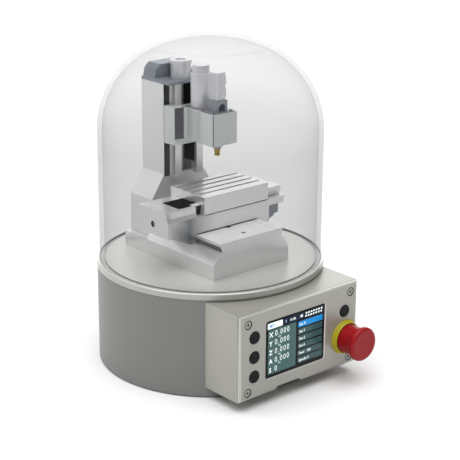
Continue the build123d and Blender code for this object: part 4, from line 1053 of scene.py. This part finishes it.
# Painted shade: a black ring in each countersink's gap.
countersink_shade_outline = [(3.75, 131.8), (3.75, 132.0), (4.45, 132.03), (4.45, 131.8), (3.75, 131.8)]
countersink_shades = []
for x, z in screw_places:
    countersink_shades.append(turned("countersink_shade", countersink_shade_outline, (x, 0, z), axis=(0, -1, 0), steps=48))
ready(together("countersink_shades", countersink_shades), "black_guard", "enclosure", "black_guard")
screws = together("countersunk_screws", panel_screws)
ready(screws, "panel_screw_steel", "enclosure", "screw_steel", "panel_screws")

# %% [markdown]
# ## Emergency stop
# A yellow collar stands on the panel, and the red cap is turned with a narrow waist, so that a hand can grip
# it, and a broad flat front with a soft rounded edge.

# %% Emergency stop
stop_at = (58.7, 0, 41.9)
collar_outline = [
    (14.6, 132.0), (16.9, 132.0), (17.25, 132.3), (16.5, 134.2), (16.1, 134.5), (16.1, 134.9), (16.3, 135.2),
    (15.7, 137.0), (15.4, 137.35), (15.0, 137.4), (14.7, 137.1), (14.6, 132.0),
]
collar = turned("yellow_collar", collar_outline, stop_at, axis=(0, -1, 0), steps=128)
ready(collar, "yellow_plastic", "enclosure", "yellow_plastic", "estop_collar")
cap_front = [(0, 159.2), (6, 159.22), (11.4, 159.32), (12.6, 159.5), (13.6, 159.42)]
cap_edge = arc(13.8, 156.4, 3.05, 80, 0, 8)
cap_side = [
    (16.85, 155.4), (16.6, 154.3), (15.8, 153.0), (14.8, 151.6), (14.2, 150.2), (14.0, 149.0), (14.0, 142.0),
]
cap_foot = [
    (14.2, 138.4), (14.2, 137.3), (13.9, 137.0), (11.6, 137.0), (11.6, 142.6), (5.4, 142.6), (5.4, 148.0),
    (0, 148.0),
]
cap = turned("red_cap", cap_front + cap_edge + cap_side + cap_foot, stop_at, axis=(0, -1, 0), steps=128)
ready(cap, "red_plastic", "estop_head", "red_plastic", "estop_cap", smooth=50)

# %% [markdown]
# ## Finishes of the CAD pieces that stay
# The pieces inside the drum, and those that hardly show, keep their CAD meshes. Each still gets a finish.

# %% Dress what stays
stay = {
    "floor_rubber": ("base_pad",),
    "plain_aluminium": (
        "floor_plate", "spindle_pulley", "motor_pulley", "board_standoffs", "estop_nut", "z_nut", "y_nut",
    ),
    "circuit_board": ("switch_boards", "control_board", "display_module"),
    "heat_sink": ("motor_drivers", "power_supply"),
    "motor_grey": ("x_motor",),
    "black_plastic": ("wire_grommet", "estop_body", "estop_plunger"),
    # painted light: the pale seal under the dome's foot
    "seal_rubber": ("dome_gasket",),
    "belt_rubber": ("drive_belt",),
    "brass": ("collet", "x_nut"),
    "screw_steel": (
        "base_bolts", "box_posts", "x_screw", "y_screw", "z_screw", "spindle", "spindle_bearings",
        "cover_screws",
    ),
}
for finish, names in stay.items():
    for name in names:
        nodes[name].data.materials.clear()
        nodes[name].data.materials.append(finishes[finish])
print(sum(len(names) for names in stay.values()), "CAD pieces keep their meshes")

# %% [markdown]
# ## Floor, light and camera
# The object stands on a plain pale floor under soft studio light. A broad sun from above makes the tops
# bright, and the white floor throws light back up on the sides. The camera looks from the front left and
# from a little above, with a long lens.

# %% Floor
start()
bpy.ops.mesh.primitive_circle_add(vertices=96, radius=40.0, fill_type="NGON")
floor = bpy.context.object
floor.name = "studio_floor"
paper = Finish("pale_paper")
fibre = paper.noise(40.0, detail=2.0)
paper_inputs = {
    "Base Color": paper.blend(fibre, (0.81, 0.81, 0.81, 1), (0.83, 0.83, 0.83, 1)),
    "Roughness": 0.85 + fibre * 0.1,
}
floor.data.materials.append(paper.done(paper.node("ShaderNodeBsdfPrincipled", {}, paper_inputs)))

# %% Light
world = bpy.data.worlds.new("studio")
bpy.context.scene.world = world
world.use_nodes = True
world.node_tree.nodes["Background"].inputs["Color"].default_value = (1, 1, 1, 1)
world.node_tree.nodes["Background"].inputs["Strength"].default_value = 0.28
bpy.context.scene.view_settings.view_transform = "Standard"


def lamp(name, kind, strength, place, aim, **settings):
    light = bpy.data.lights.new(name, kind)
    light.energy = strength
    for setting, value in settings.items():
        setattr(light, setting, value)
    holder = bpy.data.objects.new(name, light)
    bpy.context.collection.objects.link(holder)
    holder.location = place
    holder.rotation_euler = (Vector(place) - Vector(aim)).to_track_quat("Z", "Y").to_euler()


lamp("sky_panel", "SUN", 3.3, (-0.3, -0.15, 2.0), (0, 0, 0), angle=math.radians(70))
lamp("back_wall", "AREA", 36.0, (1.9, 2.3, 1.1), (0, 0, 0.2), shape="RECTANGLE", size=3.6, size_y=1.9)
lamp("left_wall", "AREA", 18.0, (-1.9, 2.2, 1.5), (0, 0, 0.2), shape="RECTANGLE", size=2.4, size_y=1.6)

# %% Camera
camera = bpy.data.cameras.new("camera")
camera.lens = 104.47
camera.sensor_width = 36
camera.clip_end = 100
viewer = bpy.data.objects.new("camera", camera)
bpy.context.collection.objects.link(viewer)
right = Vector((0.758, -0.6522, 0.0067))
up = Vector((0.2038, 0.2467, 0.9474))
back = Vector((-0.6196, -0.7168, 0.3199))
facing = Matrix((right, up, back)).transposed().to_4x4()
viewer.matrix_world = Matrix.Translation((-0.8063, -0.9626, 0.5532)) @ facing
bpy.context.scene.camera = viewer
